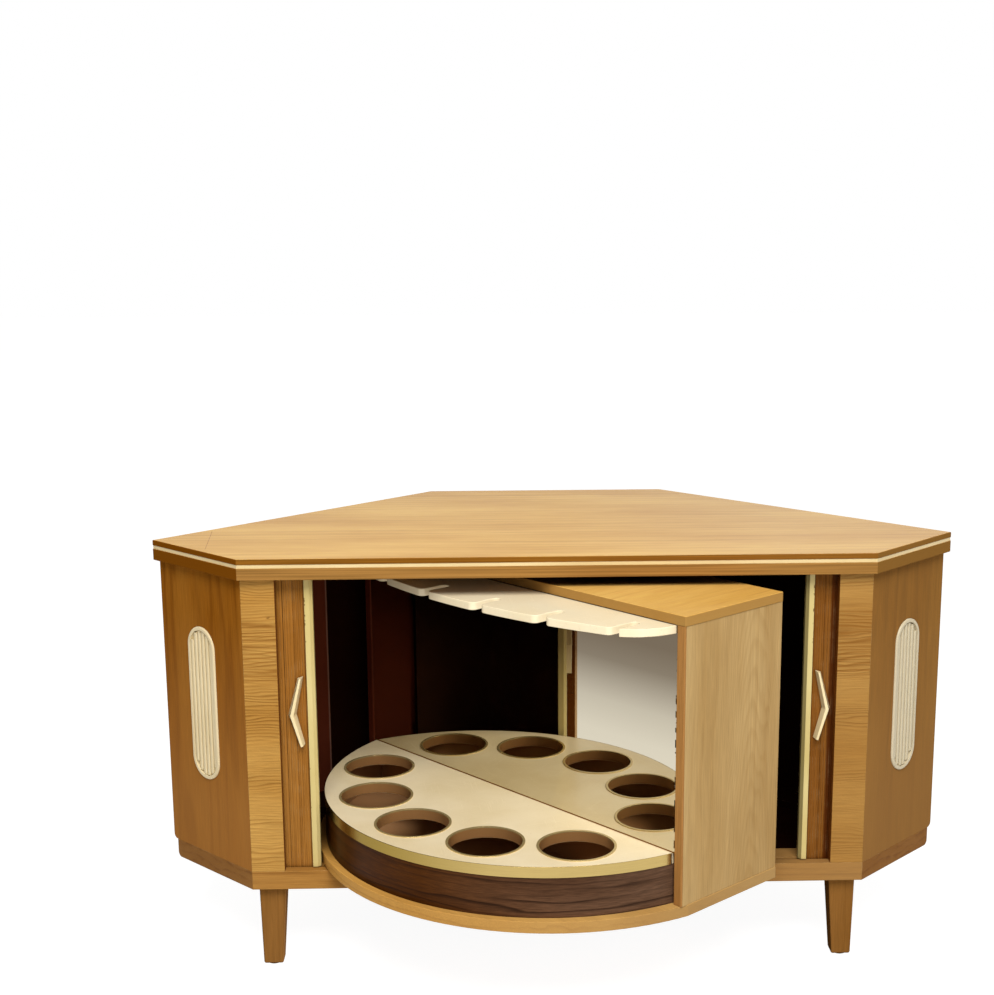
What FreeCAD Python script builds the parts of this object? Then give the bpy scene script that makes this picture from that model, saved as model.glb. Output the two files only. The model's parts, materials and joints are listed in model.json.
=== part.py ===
import FreeCAD, Part
import math
import os

# Corner bar cabinet with a turntable bar, sizes in millimetres.
# The model is drawn with X to the right, Y to the back from the front edge of the top, Z up from the floor.
# Each solid is moved at the end, so that the origin lies on the floor under the middle of the whole cabinet.

# Driving sizes of the top and the carcass
overall_width = 1220.0
overall_height = 638.0
side_edge_run = 148.0
top_back_length = 405.0
top_layer = 8.0
stripe_layer = 5.5
frame_layer = 17.5
stripe_inset = 0.6
top_edge_round = 1.5
frame_edge_round = 1.0
front_overhang = 12.0
side_overhang = 10.0
wall_overhang = 2.0
plinth_wall_inset = 11.0
panel_thickness = 14.0
back_thickness = 12.0
leg_height = 128.0
rail_height = 29.0
rail_width = 58.0
plinth_round = 9.0
plinth_edge_round = 1.0
panel_corner_round = 8.0
pilaster_from_corner = 51.5
pilaster_edge_round = 1.0
floor_thickness = 12.0
floor_drop = 12.0
corner_block_leg = 30.0
fit_gap = 0.2

# Oval fluted inserts in the side panels
oval_width = 66.0
oval_height = 239.0
oval_off_middle = 1.8
oval_above_middle = 16.5
oval_rim = 5.5
oval_rim_proud = 2.5
oval_bed_depth = 2.0
oval_rib_count = 6
oval_rib_proud = 1.2
oval_rib_width_share = 0.62
oval_rim_round_share = 0.8
oval_rib_round_share = 0.5
oval_depth = 9.0

# Legs
leg_top_width = 40.5
leg_bottom_width = 29.5
leg_top_depth = 38.0
leg_bottom_depth = 27.5
leg_from_corner = 7.9
leg_outer_taper = 2.5
leg_front_setback = 24.0
leg_front_taper = 1.0
leg_edge_round = 3.2
back_leg_from_corner = 12.7
back_leg_setback = 21.0
glide_radius = 10.5
glide_height = 1.8
leg_bolt_radius = 4.0
leg_bolt_in_leg = 38.0
leg_bolt_in_rail = 22.0

# Tambour doors
door_shown_width = 49.5
doors_off_centre = 3.2
edge_strip_width = 12.0
edge_strip_depth = 14.0
edge_strip_bevel = 4.5
edge_strip_proud = 5.5
edge_strip_round = 0.6
stile_width = 32.0
stile_joint_from_strip = 17.0
stile_joint_depth = 1.0
slat_thickness = 7.0
slat_width = 18.7
slat_pitch = 19.5
slat_count = 20
slat_bevel = 1.0
canvas_thickness = 0.8
canvas_margin = 8.0
curtain_inset = 23.5
front_bend_radius = 60.0
outer_bend_radius = 45.0
groove_width = 9.0
groove_inner_clearance = 0.75
groove_depth = 7.0
groove_spare = 24.0
slat_foot_clearance = 0.3
slat_head_clearance = 1.0
strip_end_clearance = 1.5
reed_pitch = 4.0
reed_depth = 0.35

# V-shaped door handles, places counted from the leading edge of the door
handle_tip_inner = 17.5
handle_tip_outer = 25.8
handle_vertex_inner = 29.0
handle_vertex_outer = 41.0
handle_above_middle = 16.0
handle_rise = 57.5
handle_drop = 49.0
handle_tip_slope = 2.5
handle_proud = 12.5
handle_ridge_share = 0.46
handle_groove_share = 0.74
handle_groove_width = 1.6
handle_groove_floor = 6.0
handle_groove_reach_share = 1.1
handle_edge_round = 0.6

# Turntable bar, drawn about its pivot with the bar towards -Y
turn_out_angle = -48.65
pivot_back_clearance = 17.0
unit_door_clearance = 5.5
unit_rear = 110.0
unit_front = 97.0
unit_edge_round = 1.0
base_arc_extra = 7.0
base_arc_offset = 12.0
base_thickness = 17.0
base_clearance = 2.0
unit_panel_thickness = 14.0
unit_panel_inset = 1.0
lipping_thickness = 3.0
unit_top_gap = 14.0
unit_top_thickness = 14.4
shelf_arc_setback = 17.5
shelf_arc_offset = 20.0
shelf_top_rise = 75.0
shelf_thickness = 16.0
band_thickness = 1.0
drum_recess = 0.5
drum_thickness = 8.0
mirror_recess = 1.5
mirror_thickness = 4.0
backing_thickness = 6.0
storage_shelf_rise = 196.0
storage_shelf_thickness = 12.0
storage_shelf_setback = 12.0
shelf_side_gap = 0.5
shelf_pin_radius = 3.0
shelf_pin_length = 18.0
shelf_pin_depth = 9.0
shelf_pin_inset = 30.0

# Bottle holes
hole_from_shelf_edge = 62.0
hole_circle_offset = 3.6
hole_pitch = 129.73
hole_mirror_gap = 10.0
ring_flange_radius = 56.6
ring_bore_radius = 53.0
ring_sleeve_thickness = 1.4
ring_flange_height = 1.2
ring_sleeve_depth = 15.0

# Hanging glass rack
rack_drop = 1.0
rack_thickness = 11.4
rack_reach = 117.3
rack_arc_fall = 48.8
rack_end_gap = 3.0
rack_end_margin = 47.5
rack_slots_each_side = 3
rack_slot_width = 13.0
rack_slot_depth = 46.0
rack_mouth_round = 9.0
rack_edge_round = 1.0
rack_end_bulge_shares = (0.65, 0.38)
rack_screw_radius = 2.2
rack_screw_length = 38.0
rack_screw_head_radius = 4.5
rack_screw_head = 2.5
rack_screws_each_side = 2

# Turntable bearing and pivots
race_inner_radius = 46.0
race_outer_radius = 76.0
race_thickness = 5.5
ball_radius = 3.0
ball_count = 16
race_groove_clearance = 0.3
cage_thickness = 1.6
cage_edge = 6.0
cage_hole_clearance = 0.3
spindle_radius = 6.0
spindle_running_gap = 0.05
spindle_head_radius = 14.0
spindle_head = 4.0
spindle_nut_radius = 11.0
spindle_nut = 6.0
nut_clearance = 0.4
bush_wall = 3.0
pin_plate_radius = 30.0
pin_plate = 2.0
pin_into_bush = 6.0
top_bush_depth = 9.0
top_bush_flange_radius = 16.0
top_bush_flange = 1.5

overrun = 1.0

# Places worked out from the sizes
root_two = math.sqrt(2.0)
half_width = overall_width / 2
top_front_half = half_width - side_edge_run
top_back_half = top_back_length / 2
top_depth = side_edge_run + half_width - top_back_half
top_thickness = top_layer + stripe_layer + frame_layer
body_top = overall_height - top_thickness
body_bottom = leg_height + rail_height
floor_top = body_bottom - floor_drop
body_middle = (body_bottom + body_top) / 2
pilaster_inner_edge = top_front_half - pilaster_from_corner
door_edge_from_middle = pilaster_inner_edge - door_shown_width
front_panel_back = front_overhang + panel_thickness
canvas_line = front_overhang + curtain_inset
slat_front = canvas_line - slat_thickness
slat_foot = body_bottom - groove_depth + slat_foot_clearance
slat_head = body_top + groove_depth - slat_head_clearance
stile_outer_edge = door_edge_from_middle + edge_strip_width + stile_width
curtain_length = slat_count * slat_pitch
base_bottom = body_bottom + base_clearance
base_top = base_bottom + base_thickness
unit_half_width = door_edge_from_middle - unit_door_clearance
base_arc_radius = unit_half_width + base_arc_extra
shelf_arc_radius = base_arc_radius - shelf_arc_setback
hole_circle_radius = shelf_arc_radius - hole_from_shelf_edge
pivot_setback = (top_depth - wall_overhang - back_thickness - pivot_back_clearance
                 - base_arc_offset - base_arc_radius)
unit_top_upper = body_top - unit_top_gap
unit_top_lower = unit_top_upper - unit_top_thickness
end_panel_outer = unit_half_width - unit_panel_inset
end_panel_inner = end_panel_outer - unit_panel_thickness
mirror_front = -unit_front + mirror_recess
mirror_back = mirror_front + mirror_thickness
backing_back = mirror_back + backing_thickness
shelf_top_height = base_top + shelf_top_rise
shelf_bottom = shelf_top_height - shelf_thickness
storage_shelf_height = base_top + storage_shelf_rise
rack_top_height = unit_top_lower - rack_drop
rack_half_length = end_panel_inner - rack_end_gap
rack_slot_spacing = (rack_half_length - rack_end_margin) / (rack_slots_each_side - 0.5)
rack_tip = rack_half_length - rack_end_margin + rack_slot_width / 2
rack_arc_radius = (rack_tip ** 2 + rack_arc_fall ** 2) / (2 * rack_arc_fall)
turn = math.radians(turn_out_angle)
front_reach = pivot_setback - base_arc_offset * math.cos(turn) - base_arc_radius
frame_shift = (top_depth + front_reach) / 2
origin = FreeCAD.Vector(0, 0, 0)
up = FreeCAD.Vector(0, 0, 1)
across = FreeCAD.Vector(1, 0, 0)


def at(x, y, z=0.0):
    return FreeCAD.Vector(x, y, z)


def save(name, shape):
    """Writes one piece, moved from the drawing frame to the frame of the whole cabinet."""
    placed = shape.copy()
    placed.translate(at(0, -frame_shift))
    placed.exportStep("parts/" + name + ".step")


def group(shapes):
    return shapes[0] if len(shapes) == 1 else Part.makeCompound(shapes)


def mirrored(shape):
    return shape.mirror(origin, across)


def turned_out(shape):
    """Takes a piece of the bar from its own axes to its place in the cabinet."""
    placed = shape.copy()
    placed.rotate(origin, up, turn_out_angle)
    placed.translate(at(0, pivot_setback))
    return placed


def plate(points, bottom, height):
    """A flat board with straight edges."""
    corners = [at(x, y, bottom) for x, y in points]
    face = Part.Face(Part.makePolygon(corners + corners[:1]))
    return face.extrude(at(0, 0, height))


def bounded_plate(edges, height):
    """A flat board whose outline is a closed row of edges."""
    return Part.Face(Part.Wire(edges)).extrude(at(0, 0, height))


def block(low, high):
    size = high - low
    return Part.makeBox(size.x, size.y, size.z, low)


def disc(radius, x, y, bottom, height):
    return Part.makeCylinder(radius, height, at(x, y, bottom))


def ring(inner, outer, bottom, height):
    return disc(outer, 0, 0, bottom, height).cut(disc(inner, 0, 0, bottom - overrun, height + 2 * overrun))


def arc_through(first, middle, last):
    return Part.Arc(first, middle, last).toShape()


def upright_edges(shape, wanted):
    """The vertical edges that stand where wanted(x, y) is true."""
    found = []
    for edge in shape.Edges:
        first, last = edge.Vertexes[0].Point, edge.Vertexes[-1].Point
        level = math.hypot(last.x - first.x, last.y - first.y)
        if level < abs(last.z - first.z) * 1e-6 and wanted(first.x, first.y):
            found.append(edge)
    return found


def edge_line(name, inset):
    """The line inset behind an edge of the top on the right-hand side, as a, b, c of a*x + b*y = c."""
    lines = {
        "front": (0.0, 1.0, inset),
        "side": (1.0, -1.0, top_front_half - inset * root_two),
        "wall": (1.0, 1.0, half_width + side_edge_run - inset * root_two),
        "back": (0.0, 1.0, top_depth - inset),
    }
    return lines[name]


def meet(first, first_inset, second, second_inset):
    """The corner at which two inset lines meet."""
    a, b, c = edge_line(first, first_inset)
    d, e, f = edge_line(second, second_inset)
    whole = a * e - b * d
    return ((c * e - b * f) / whole, (a * f - c * d) / whole)


def both_sides(points):
    """A closed outline from its right-hand corners, front to back."""
    return points + [(-x, y) for x, y in reversed(points)]


def carcass_outline(front, side, wall, back):
    return both_sides([
        meet("front", front, "side", side),
        meet("side", side, "wall", wall),
        meet("wall", wall, "back", back),
    ])


def eased(shape, radius, wanted):
    """Rounds the edges whose ends are all wanted."""
    return shape.makeFillet(radius, [e for e in shape.Edges if all(wanted(v.Point) for v in e.Vertexes)])


def at_height(z):
    return lambda point: abs(point.z - z) < fit_gap


def anywhere(point):
    return True


# Path of the tambour curtains

def curtain_stations():
    """Corners, turns and radii of the canvas line on the right-hand side."""
    return [
        (meet("front", canvas_line, "side", side_overhang + curtain_inset), math.pi / 4, front_bend_radius),
        (meet("side", side_overhang + curtain_inset, "wall", wall_overhang + curtain_inset),
         math.pi / 2, outer_bend_radius),
    ]


def path_pieces(start_x):
    """The canvas line as straight and bent stretches: start, heading, length and turn."""
    place = at(start_x, canvas_line)
    heading = 0.0
    pieces = []
    for (x, y), angle, radius in curtain_stations():
        run = at(x, y).distanceToPoint(place) - radius * math.tan(angle / 2)
        pieces.append((place, heading, run, 0.0, 0.0))
        place = place + at(math.cos(heading), math.sin(heading)) * run
        pieces.append((place, heading, radius * angle, angle, radius))
        centre = place + at(-math.sin(heading), math.cos(heading)) * radius
        heading = heading + angle
        place = centre + at(math.sin(heading), -math.cos(heading)) * radius
    pieces.append((place, heading, curtain_length + groove_spare + half_width, 0.0, 0.0))
    return pieces


def on_path(start_x, distance):
    """A point of the canvas line and the heading there, a given distance from its start."""
    left = distance
    for place, heading, length, angle, radius in path_pieces(start_x):
        if left <= length:
            break
        left = left - length
    if angle:
        centre = place + at(-math.sin(heading), math.cos(heading)) * radius
        heading = heading + left / radius
        place = centre + at(math.sin(heading), -math.cos(heading)) * radius
    else:
        place = place + at(math.cos(heading), math.sin(heading)) * left
    return place, heading


def path_edges(start_x, reach, outward, z):
    """The stretches of a line beside the canvas line, as edges over a distance from start_x."""
    edges = []
    left = reach
    for place, heading, length, angle, radius in path_pieces(start_x):
        length = min(length, left)
        left = left - length
        side = at(math.sin(heading), -math.cos(heading))
        first = place + side * outward
        if angle:
            centre = place - side * radius
            wide = radius + outward
            points = []
            for share in (0.5, 1.0):
                bearing = heading + angle * share
                points.append(centre + at(math.sin(bearing), -math.cos(bearing)) * wide)
            middle, end = points
            edges.append(arc_through(at(first.x, first.y, z), at(middle.x, middle.y, z), at(end.x, end.y, z)))
        else:
            end = first + at(math.cos(heading), math.sin(heading)) * length
            edges.append(Part.makeLine(at(first.x, first.y, z), at(end.x, end.y, z)))
    return edges


def path_band(start_x, reach, inner, outer, z, height):
    """A curved upright band between two lines beside the canvas line."""
    near = path_edges(start_x, reach, inner, z)
    far = path_edges(start_x, reach, outer, z)
    start = Part.makeLine(near[0].Vertexes[0].Point, far[0].Vertexes[0].Point)
    end = Part.makeLine(near[-1].Vertexes[-1].Point, far[-1].Vertexes[-1].Point)
    return bounded_plate(Part.__sortEdges__(near + far + [start, end]), height)


def groove_cutter(bottom, height):
    """The track of both doors, which runs right across the front and round both sides."""
    half = path_band(0.0, stile_outer_edge + curtain_length + groove_spare, -groove_inner_clearance,
                     groove_width - groove_inner_clearance, bottom, height)
    return half.fuse(mirrored(half)).removeSplitter()


# The top

def make_top():
    outline = carcass_outline(0, 0, 0, 0)
    inset = carcass_outline(stripe_inset, stripe_inset, stripe_inset, stripe_inset)
    board = plate(outline, overall_height - top_layer, top_layer)
    save("top_board", eased(board, top_edge_round, at_height(overall_height)))
    save("top_stripe", plate(inset, body_top + frame_layer, stripe_layer))
    frame = eased(plate(outline, body_top, frame_layer), frame_edge_round, at_height(body_top))
    frame = frame.cut(groove_cutter(body_top - overrun, groove_depth + overrun))
    bush_hole = spindle_radius + spindle_running_gap + bush_wall + fit_gap
    frame = frame.cut(disc(bush_hole, 0, pivot_setback, body_top - overrun, top_bush_depth + overrun))
    save("top_frame", frame)


# The plinth and the floor

def lower_rounding(corner, bottom, radius):
    """What is taken off a lower edge that runs squarely away from the right-hand side face."""
    x, y = corner
    reach = top_depth
    square = block(at(-radius, -reach, bottom - overrun), at(overrun, reach, bottom + radius))
    round_bar = Part.makeCylinder(radius, 2 * reach, at(-radius, -reach, bottom + radius), at(0, 1))
    cutter = square.cut(round_bar)
    cutter.rotate(origin, up, math.degrees(math.pi / 4))
    cutter.translate(at(x, y))
    return cutter


def leg_frames():
    """The four legs: name, x of the outer top corner, y of the front, sign of x."""
    front_x = meet("front", front_overhang, "side", side_overhang)[0] - leg_from_corner
    back_x = meet("wall", plinth_wall_inset, "back", plinth_wall_inset)[0] - back_leg_from_corner
    back_y = top_depth - plinth_wall_inset - back_leg_setback - leg_top_depth
    return [
        ("front_left_leg", front_x, leg_front_setback, -1),
        ("front_right_leg", front_x, leg_front_setback, 1),
        ("back_left_leg", back_x, back_y, -1),
        ("back_right_leg", back_x, back_y, 1),
    ]


def leg_axis(outer, front, sign):
    return sign * (outer - leg_top_width / 2), front + leg_top_depth / 2


def drill_legs(rail):
    for name, outer, front, sign in leg_frames():
        x, y = leg_axis(outer, front, sign)
        rail = rail.cut(disc(leg_bolt_radius + fit_gap, x, y, leg_height - overrun,
                             leg_bolt_in_rail + overrun + fit_gap))
    return rail


def make_plinth():
    wide = rail_width
    front_in, side_in, wall_in = front_overhang, side_overhang, plinth_wall_inset
    outer = [
        meet("front", front_in, "side", side_in),
        meet("side", side_in, "wall", wall_in),
        meet("wall", wall_in, "back", wall_in),
    ]
    inner = [
        meet("front", front_in + wide, "side", side_in + wide),
        meet("side", side_in + wide, "wall", wall_in + wide),
        meet("wall", wall_in + wide, "back", wall_in + wide),
    ]
    groove = groove_cutter(body_bottom - groove_depth, groove_depth + overrun)
    rounding = lower_rounding(outer[1], leg_height, plinth_round)

    def rail(points):
        def is_outer(point):
            return at_height(leg_height)(point) and min(
                math.hypot(abs(point.x) - x, point.y - y) for x, y in outer) < fit_gap

        whole = eased(plate(points, leg_height, rail_height), plinth_edge_round, is_outer).cut(groove)
        return drill_legs(whole.cut(rounding).cut(mirrored(rounding)))

    def straight(first, last):
        return rail([first, (-first[0], first[1]), (-last[0], last[1]), last])

    save("front_rail", straight(outer[0], inner[0]))
    save("back_rail", straight(outer[2], inner[2]))
    side = rail([outer[0], outer[1], inner[1], inner[0]])
    wall = rail([outer[1], outer[2], inner[2], inner[1]])
    for hand, shape in (("right", lambda s: s), ("left", mirrored)):
        save(hand + "_side_rail", shape(side))
        save(hand + "_wall_rail", shape(wall))
    floor = plate(both_sides(inner), floor_top - floor_thickness, floor_thickness)
    floor = floor.cut(disc(spindle_radius + fit_gap, 0, pivot_setback,
                           floor_top - floor_thickness - overrun, floor_thickness + 2 * overrun))
    save("floor_board", floor)


# Legs, their bolts and glides

def leg(outer, front):
    """One tapered leg on the right-hand side."""
    top = [(outer, front), (outer, front + leg_top_depth),
           (outer - leg_top_width, front + leg_top_depth), (outer - leg_top_width, front)]
    foot_x, foot_y = outer - leg_outer_taper, front + leg_front_taper
    foot = [(foot_x, foot_y), (foot_x, foot_y + leg_bottom_depth),
            (foot_x - leg_bottom_width, foot_y + leg_bottom_depth), (foot_x - leg_bottom_width, foot_y)]
    wires = []
    for points, z in ((foot, glide_height), (top, leg_height)):
        corners = [at(x, y, z) for x, y in points]
        wires.append(Part.makePolygon(corners + corners[:1]))
    body = Part.makeLoft(wires, True, True)
    sharp = [e for e in body.Edges if min(v.Point.z for v in e.Vertexes) < leg_height - overrun]
    return body.makeFillet(leg_edge_round, sharp)


def make_legs():
    glides = []
    bolts = []
    for name, outer, front, sign in leg_frames():
        x, y = leg_axis(outer, front, sign)
        shape = leg(outer, front) if sign > 0 else mirrored(leg(outer, front))
        hole = disc(leg_bolt_radius + fit_gap, x, y, leg_height - leg_bolt_in_leg - fit_gap,
                    leg_bolt_in_leg + fit_gap + overrun)
        save(name, shape.cut(hole))
        bolts.append(disc(leg_bolt_radius, x, y, leg_height - leg_bolt_in_leg,
                          leg_bolt_in_leg + leg_bolt_in_rail))
        foot_x = sign * (outer - leg_outer_taper - leg_bottom_width / 2)
        foot_y = front + leg_front_taper + leg_bottom_depth / 2
        glides.append(disc(glide_radius, foot_x, foot_y, 0, glide_height))
    save("leg_glides", group(glides))
    save("leg_bolts", group(bolts))


# Carcass panels

def stadium(width, height, bottom, thickness):
    """A long oval plate in the XZ plane about the origin, from y = bottom towards +Y."""
    radius = width / 2
    straight = height / 2 - radius
    low, high = at(0, bottom, -straight), at(0, bottom, straight)
    edges = [
        Part.makeLine(low + at(radius, 0), high + at(radius, 0)),
        arc_through(high + at(radius, 0), high + at(0, 0, radius), high - at(radius, 0)),
        Part.makeLine(high - at(radius, 0), low - at(radius, 0)),
        arc_through(low - at(radius, 0), low - at(0, 0, radius), low + at(radius, 0)),
    ]
    return Part.Face(Part.Wire(edges)).extrude(at(0, thickness))


def onto_side_panel(shape):
    """Stands a shape drawn against y = 0 on the outer face of the right-hand side panel."""
    x, y = meet("front", front_overhang, "side", side_overhang)
    placed = shape.copy()
    placed.rotate(origin, up, math.degrees(math.pi / 4))
    far_x = meet("side", side_overhang, "wall", wall_overhang)[0]
    along = (far_x - x) / 2 + oval_off_middle / root_two
    placed.translate(at(x + along, y + along, body_middle + oval_above_middle))
    return placed


def oval_insert():
    """A cream oval with a raised rim round a bed of upright ribs."""
    inner_width, inner_height = oval_width - 2 * oval_rim, oval_height - 2 * oval_rim
    inner_radius = inner_width / 2
    whole = stadium(oval_width, oval_height, -oval_rim_proud, oval_depth + oval_rim_proud)
    rim_edges = [e for e in whole.Edges if all(abs(v.Point.y + oval_rim_proud) < fit_gap for v in e.Vertexes)]
    whole = whole.makeFillet(oval_rim_proud * oval_rim_round_share, rim_edges)
    bed_face = oval_bed_depth
    whole = whole.cut(stadium(inner_width, inner_height, -oval_rim_proud - overrun,
                              oval_rim_proud + overrun + bed_face))
    pitch = inner_width / oval_rib_count
    rib_radius = pitch * oval_rib_width_share / 2
    for number in range(oval_rib_count):
        x = (number + 0.5 - oval_rib_count / 2) * pitch
        reach = math.sqrt(inner_radius ** 2 - (abs(x) + rib_radius) ** 2)
        half = inner_height / 2 - inner_radius + reach
        rib = block(at(x - rib_radius, -oval_rib_proud, -half), at(x + rib_radius, bed_face, half))
        crest = [e for e in rib.Edges if all(abs(v.Point.y + oval_rib_proud) < fit_gap for v in e.Vertexes)]
        whole = whole.fuse(rib.makeFillet(rib_radius * oval_rib_round_share, crest))
    return onto_side_panel(whole.removeSplitter())


def make_panels():
    height = body_top - body_bottom
    thick = panel_thickness
    outer_front = meet("front", front_overhang, "side", side_overhang)
    inner_front = meet("front", front_overhang + thick, "side", side_overhang + thick)
    outer_side = meet("side", side_overhang, "wall", wall_overhang)
    inner_side = meet("side", side_overhang + thick, "wall", wall_overhang)
    inner_wall = meet("side", side_overhang + thick, "wall", wall_overhang + back_thickness)
    outer_back = meet("wall", wall_overhang, "back", wall_overhang)
    inner_back = meet("wall", wall_overhang + back_thickness, "back", wall_overhang + back_thickness)

    pilaster = plate([(pilaster_inner_edge, front_overhang), outer_front, inner_front,
                      (pilaster_inner_edge, front_panel_back)], body_bottom, height)
    pilaster = eased(pilaster, pilaster_edge_round,
                     lambda point: abs(point.x - pilaster_inner_edge) + abs(point.y - front_overhang) < fit_gap)
    side = plate([outer_front, outer_side, inner_side, inner_front], body_bottom, height)
    side = side.cut(onto_side_panel(stadium(oval_width + 2 * fit_gap, oval_height + 2 * fit_gap,
                                            -overrun, oval_depth + overrun)))
    side = side.cut(lower_rounding(outer_side, body_bottom, panel_corner_round))
    wall = plate([inner_side, outer_back, inner_back, inner_wall], body_bottom, height)
    back = plate([outer_back, (-outer_back[0], outer_back[1]), (-inner_back[0], inner_back[1]), inner_back],
                 body_bottom, height)
    leg_share = corner_block_leg / root_two
    block_outline = [inner_wall, (inner_wall[0] - leg_share, inner_wall[1] - leg_share),
                     (inner_wall[0] - leg_share, inner_wall[1] + leg_share)]
    corner_block = plate(block_outline, body_bottom, height)
    pieces = {
        "pilaster": pilaster,
        "side_panel": side,
        "oval_insert": oval_insert(),
        "wall_panel": wall,
        "corner_block": corner_block,
    }
    for name, shape in pieces.items():
        save("right_" + name, shape)
        save("left_" + name, mirrored(shape))
    save("back_panel", back)


# Tambour doors

def slat(start_x, distance):
    """One slat of the curtain, its back on the canvas and its front corners bevelled."""
    centre, heading = on_path(start_x, distance)
    half, thick, bevel = slat_width / 2, slat_thickness, slat_bevel
    outline = [(-half, 0), (half, 0), (half, -thick + bevel), (half - bevel, -thick),
               (-half + bevel, -thick), (-half, -thick + bevel)]
    shape = plate(outline, slat_foot, slat_head - slat_foot)
    shape.rotate(origin, up, math.degrees(heading))
    shape.translate(at(centre.x, centre.y))
    return shape


def curtain(door_edge):
    """The slats that are stored behind the pilaster and round the side, glued on canvas."""
    first = door_edge + edge_strip_width + stile_width
    slats = [slat(first, (number + 0.5) * slat_pitch) for number in range(slat_count)]
    low = body_bottom + canvas_margin
    canvas = path_band(first + fit_gap, curtain_length - fit_gap, -canvas_thickness, 0,
                       low, body_top - canvas_margin - low)
    return group(slats + [canvas])


def edge_strip(inner):
    """The pale strip on the leading edge, with a broad bevel on its inner front corner."""
    front = slat_front - edge_strip_proud
    back = front + edge_strip_depth
    outer = inner + edge_strip_width
    outline = [(inner + edge_strip_bevel, front), (outer, front), (outer, back), (inner, back),
               (inner, front + edge_strip_bevel)]
    low = body_bottom + strip_end_clearance
    return eased(plate(outline, low, body_top - strip_end_clearance - low), edge_strip_round, anywhere)


def stile(door_edge):
    """The first, wide slat of the door, with fine upright reeds and one deeper joint."""
    first = door_edge + edge_strip_width
    board = block(at(first, slat_front, slat_foot), at(first + stile_width, canvas_line, slat_head))
    count = int(stile_width / reed_pitch)
    margin = (stile_width - (count - 1) * reed_pitch) / 2
    lines = [(first + margin + number * reed_pitch, reed_depth) for number in range(count)]
    lines.append((first + stile_joint_from_strip, stile_joint_depth))
    for x, depth in lines:
        vee = [(x - depth, slat_front), (x, slat_front + depth), (x + depth, slat_front)]
        board = board.cut(plate(vee, slat_foot - overrun, slat_head - slat_foot + 2 * overrun))
    return board


def handle_groove(door_edge, foot):
    """What is cut along a handle beside its ridge, from end to end."""
    stations = []
    for inner, outer in ((0, 1), (5, 2), (4, 3)):
        (inner_u, inner_z), (outer_u, outer_z) = foot[inner], foot[outer]
        stations.append((inner_u + (outer_u - inner_u) * handle_groove_share,
                         inner_z + (outer_z - inner_z) * handle_groove_share))
    middle_u, middle_z = stations[1]
    for number in (0, 2):
        u, z = stations[number]
        stations[number] = (middle_u + (u - middle_u) * handle_groove_reach_share,
                            middle_z + (z - middle_z) * handle_groove_reach_share)
    half = handle_groove_width / 2
    outline = [(u - half, z) for u, z in stations] + [(u + half, z) for u, z in reversed(stations)]
    corners = [at(door_edge + u, slat_front - handle_groove_floor, z) for u, z in outline]
    return Part.Face(Part.makePolygon(corners + corners[:1])).extrude(at(0, -handle_proud))


def handle(door_edge):
    """A V-shaped pull with a flat ridge and a groove beside it, its point turned away from the opening."""
    slope = handle_tip_slope
    vertex = body_middle + handle_above_middle
    top, bottom = vertex + handle_rise, vertex - handle_drop
    foot = [
        (handle_tip_inner, top), (handle_tip_outer, top - slope), (handle_vertex_outer, vertex),
        (handle_tip_outer, bottom), (handle_tip_inner, bottom + slope), (handle_vertex_inner, vertex),
    ]
    middles = {0: 1, 1: 0, 2: 5, 5: 2, 3: 4, 4: 3}
    ridge = []
    for number, (u, z) in enumerate(foot):
        other_u, other_z = foot[middles[number]]
        middle_u, middle_z = (u + other_u) / 2, (z + other_z) / 2
        share = handle_ridge_share
        ridge.append((middle_u + (u - middle_u) * share, middle_z + (z - middle_z) * share))
    wires = []
    for points, y in ((foot, slat_front), (ridge, slat_front - handle_proud)):
        corners = [at(door_edge + u, y, z) for u, z in points]
        wires.append(Part.makePolygon(corners + corners[:1]))
    whole = Part.makeLoft(wires, True, True)
    whole = eased(whole, handle_edge_round, lambda point: point.y < slat_front - fit_gap)
    return whole.cut(handle_groove(door_edge, foot))


def make_doors():
    """Both doors, which stand a little to the right of even places."""
    for hand, door_edge, placed in (
            ("right", door_edge_from_middle + doors_off_centre, lambda shape: shape),
            ("left", door_edge_from_middle - doors_off_centre, mirrored)):
        save(hand + "_door_edge_strip", placed(edge_strip(door_edge)))
        save(hand + "_door_stile", placed(stile(door_edge)))
        save(hand + "_door_handle", placed(handle(door_edge)))
        save(hand + "_tambour_curtain", placed(curtain(door_edge)))


# The turntable bar

def arc_board(radius, offset, half, rear, bottom, thickness):
    """A board with an arc in front, centred offset forward of the pivot, and straight sides at x = half."""
    y = -offset - math.sqrt(radius ** 2 - half ** 2)
    left, right = at(-half, y, bottom), at(half, y, bottom)
    rear_left, rear_right = at(-half, rear, bottom), at(half, rear, bottom)
    edges = [
        arc_through(left, at(0, -offset - radius, bottom), right),
        Part.makeLine(right, rear_right),
        Part.makeLine(rear_right, rear_left),
        Part.makeLine(rear_left, left),
    ]
    return bounded_plate(edges, thickness)


def arc_wall(outer, thickness, offset, rear, bottom, height):
    """A curved upright wall that stops at y = rear."""
    tube = ring(outer - thickness, outer, bottom, height)
    tube.translate(at(0, -offset))
    keep = block(at(-2 * outer, -2 * outer - offset, bottom - overrun),
                 at(2 * outer, rear, bottom + height + overrun))
    return tube.common(keep)


def bottle_holes():
    """Centres of the bottle holes in the bar's own axes."""
    spacing = 2 * math.asin(hole_pitch / 2 / hole_circle_radius)
    nearest = ring_flange_radius + hole_mirror_gap - mirror_front - hole_circle_offset
    each_side = int(math.acos(nearest / hole_circle_radius) / spacing)
    places = []
    for number in range(-each_side, each_side + 1):
        angle = number * spacing
        places.append((hole_circle_radius * math.sin(angle),
                       -hole_circle_offset - hole_circle_radius * math.cos(angle)))
    return places


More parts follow.
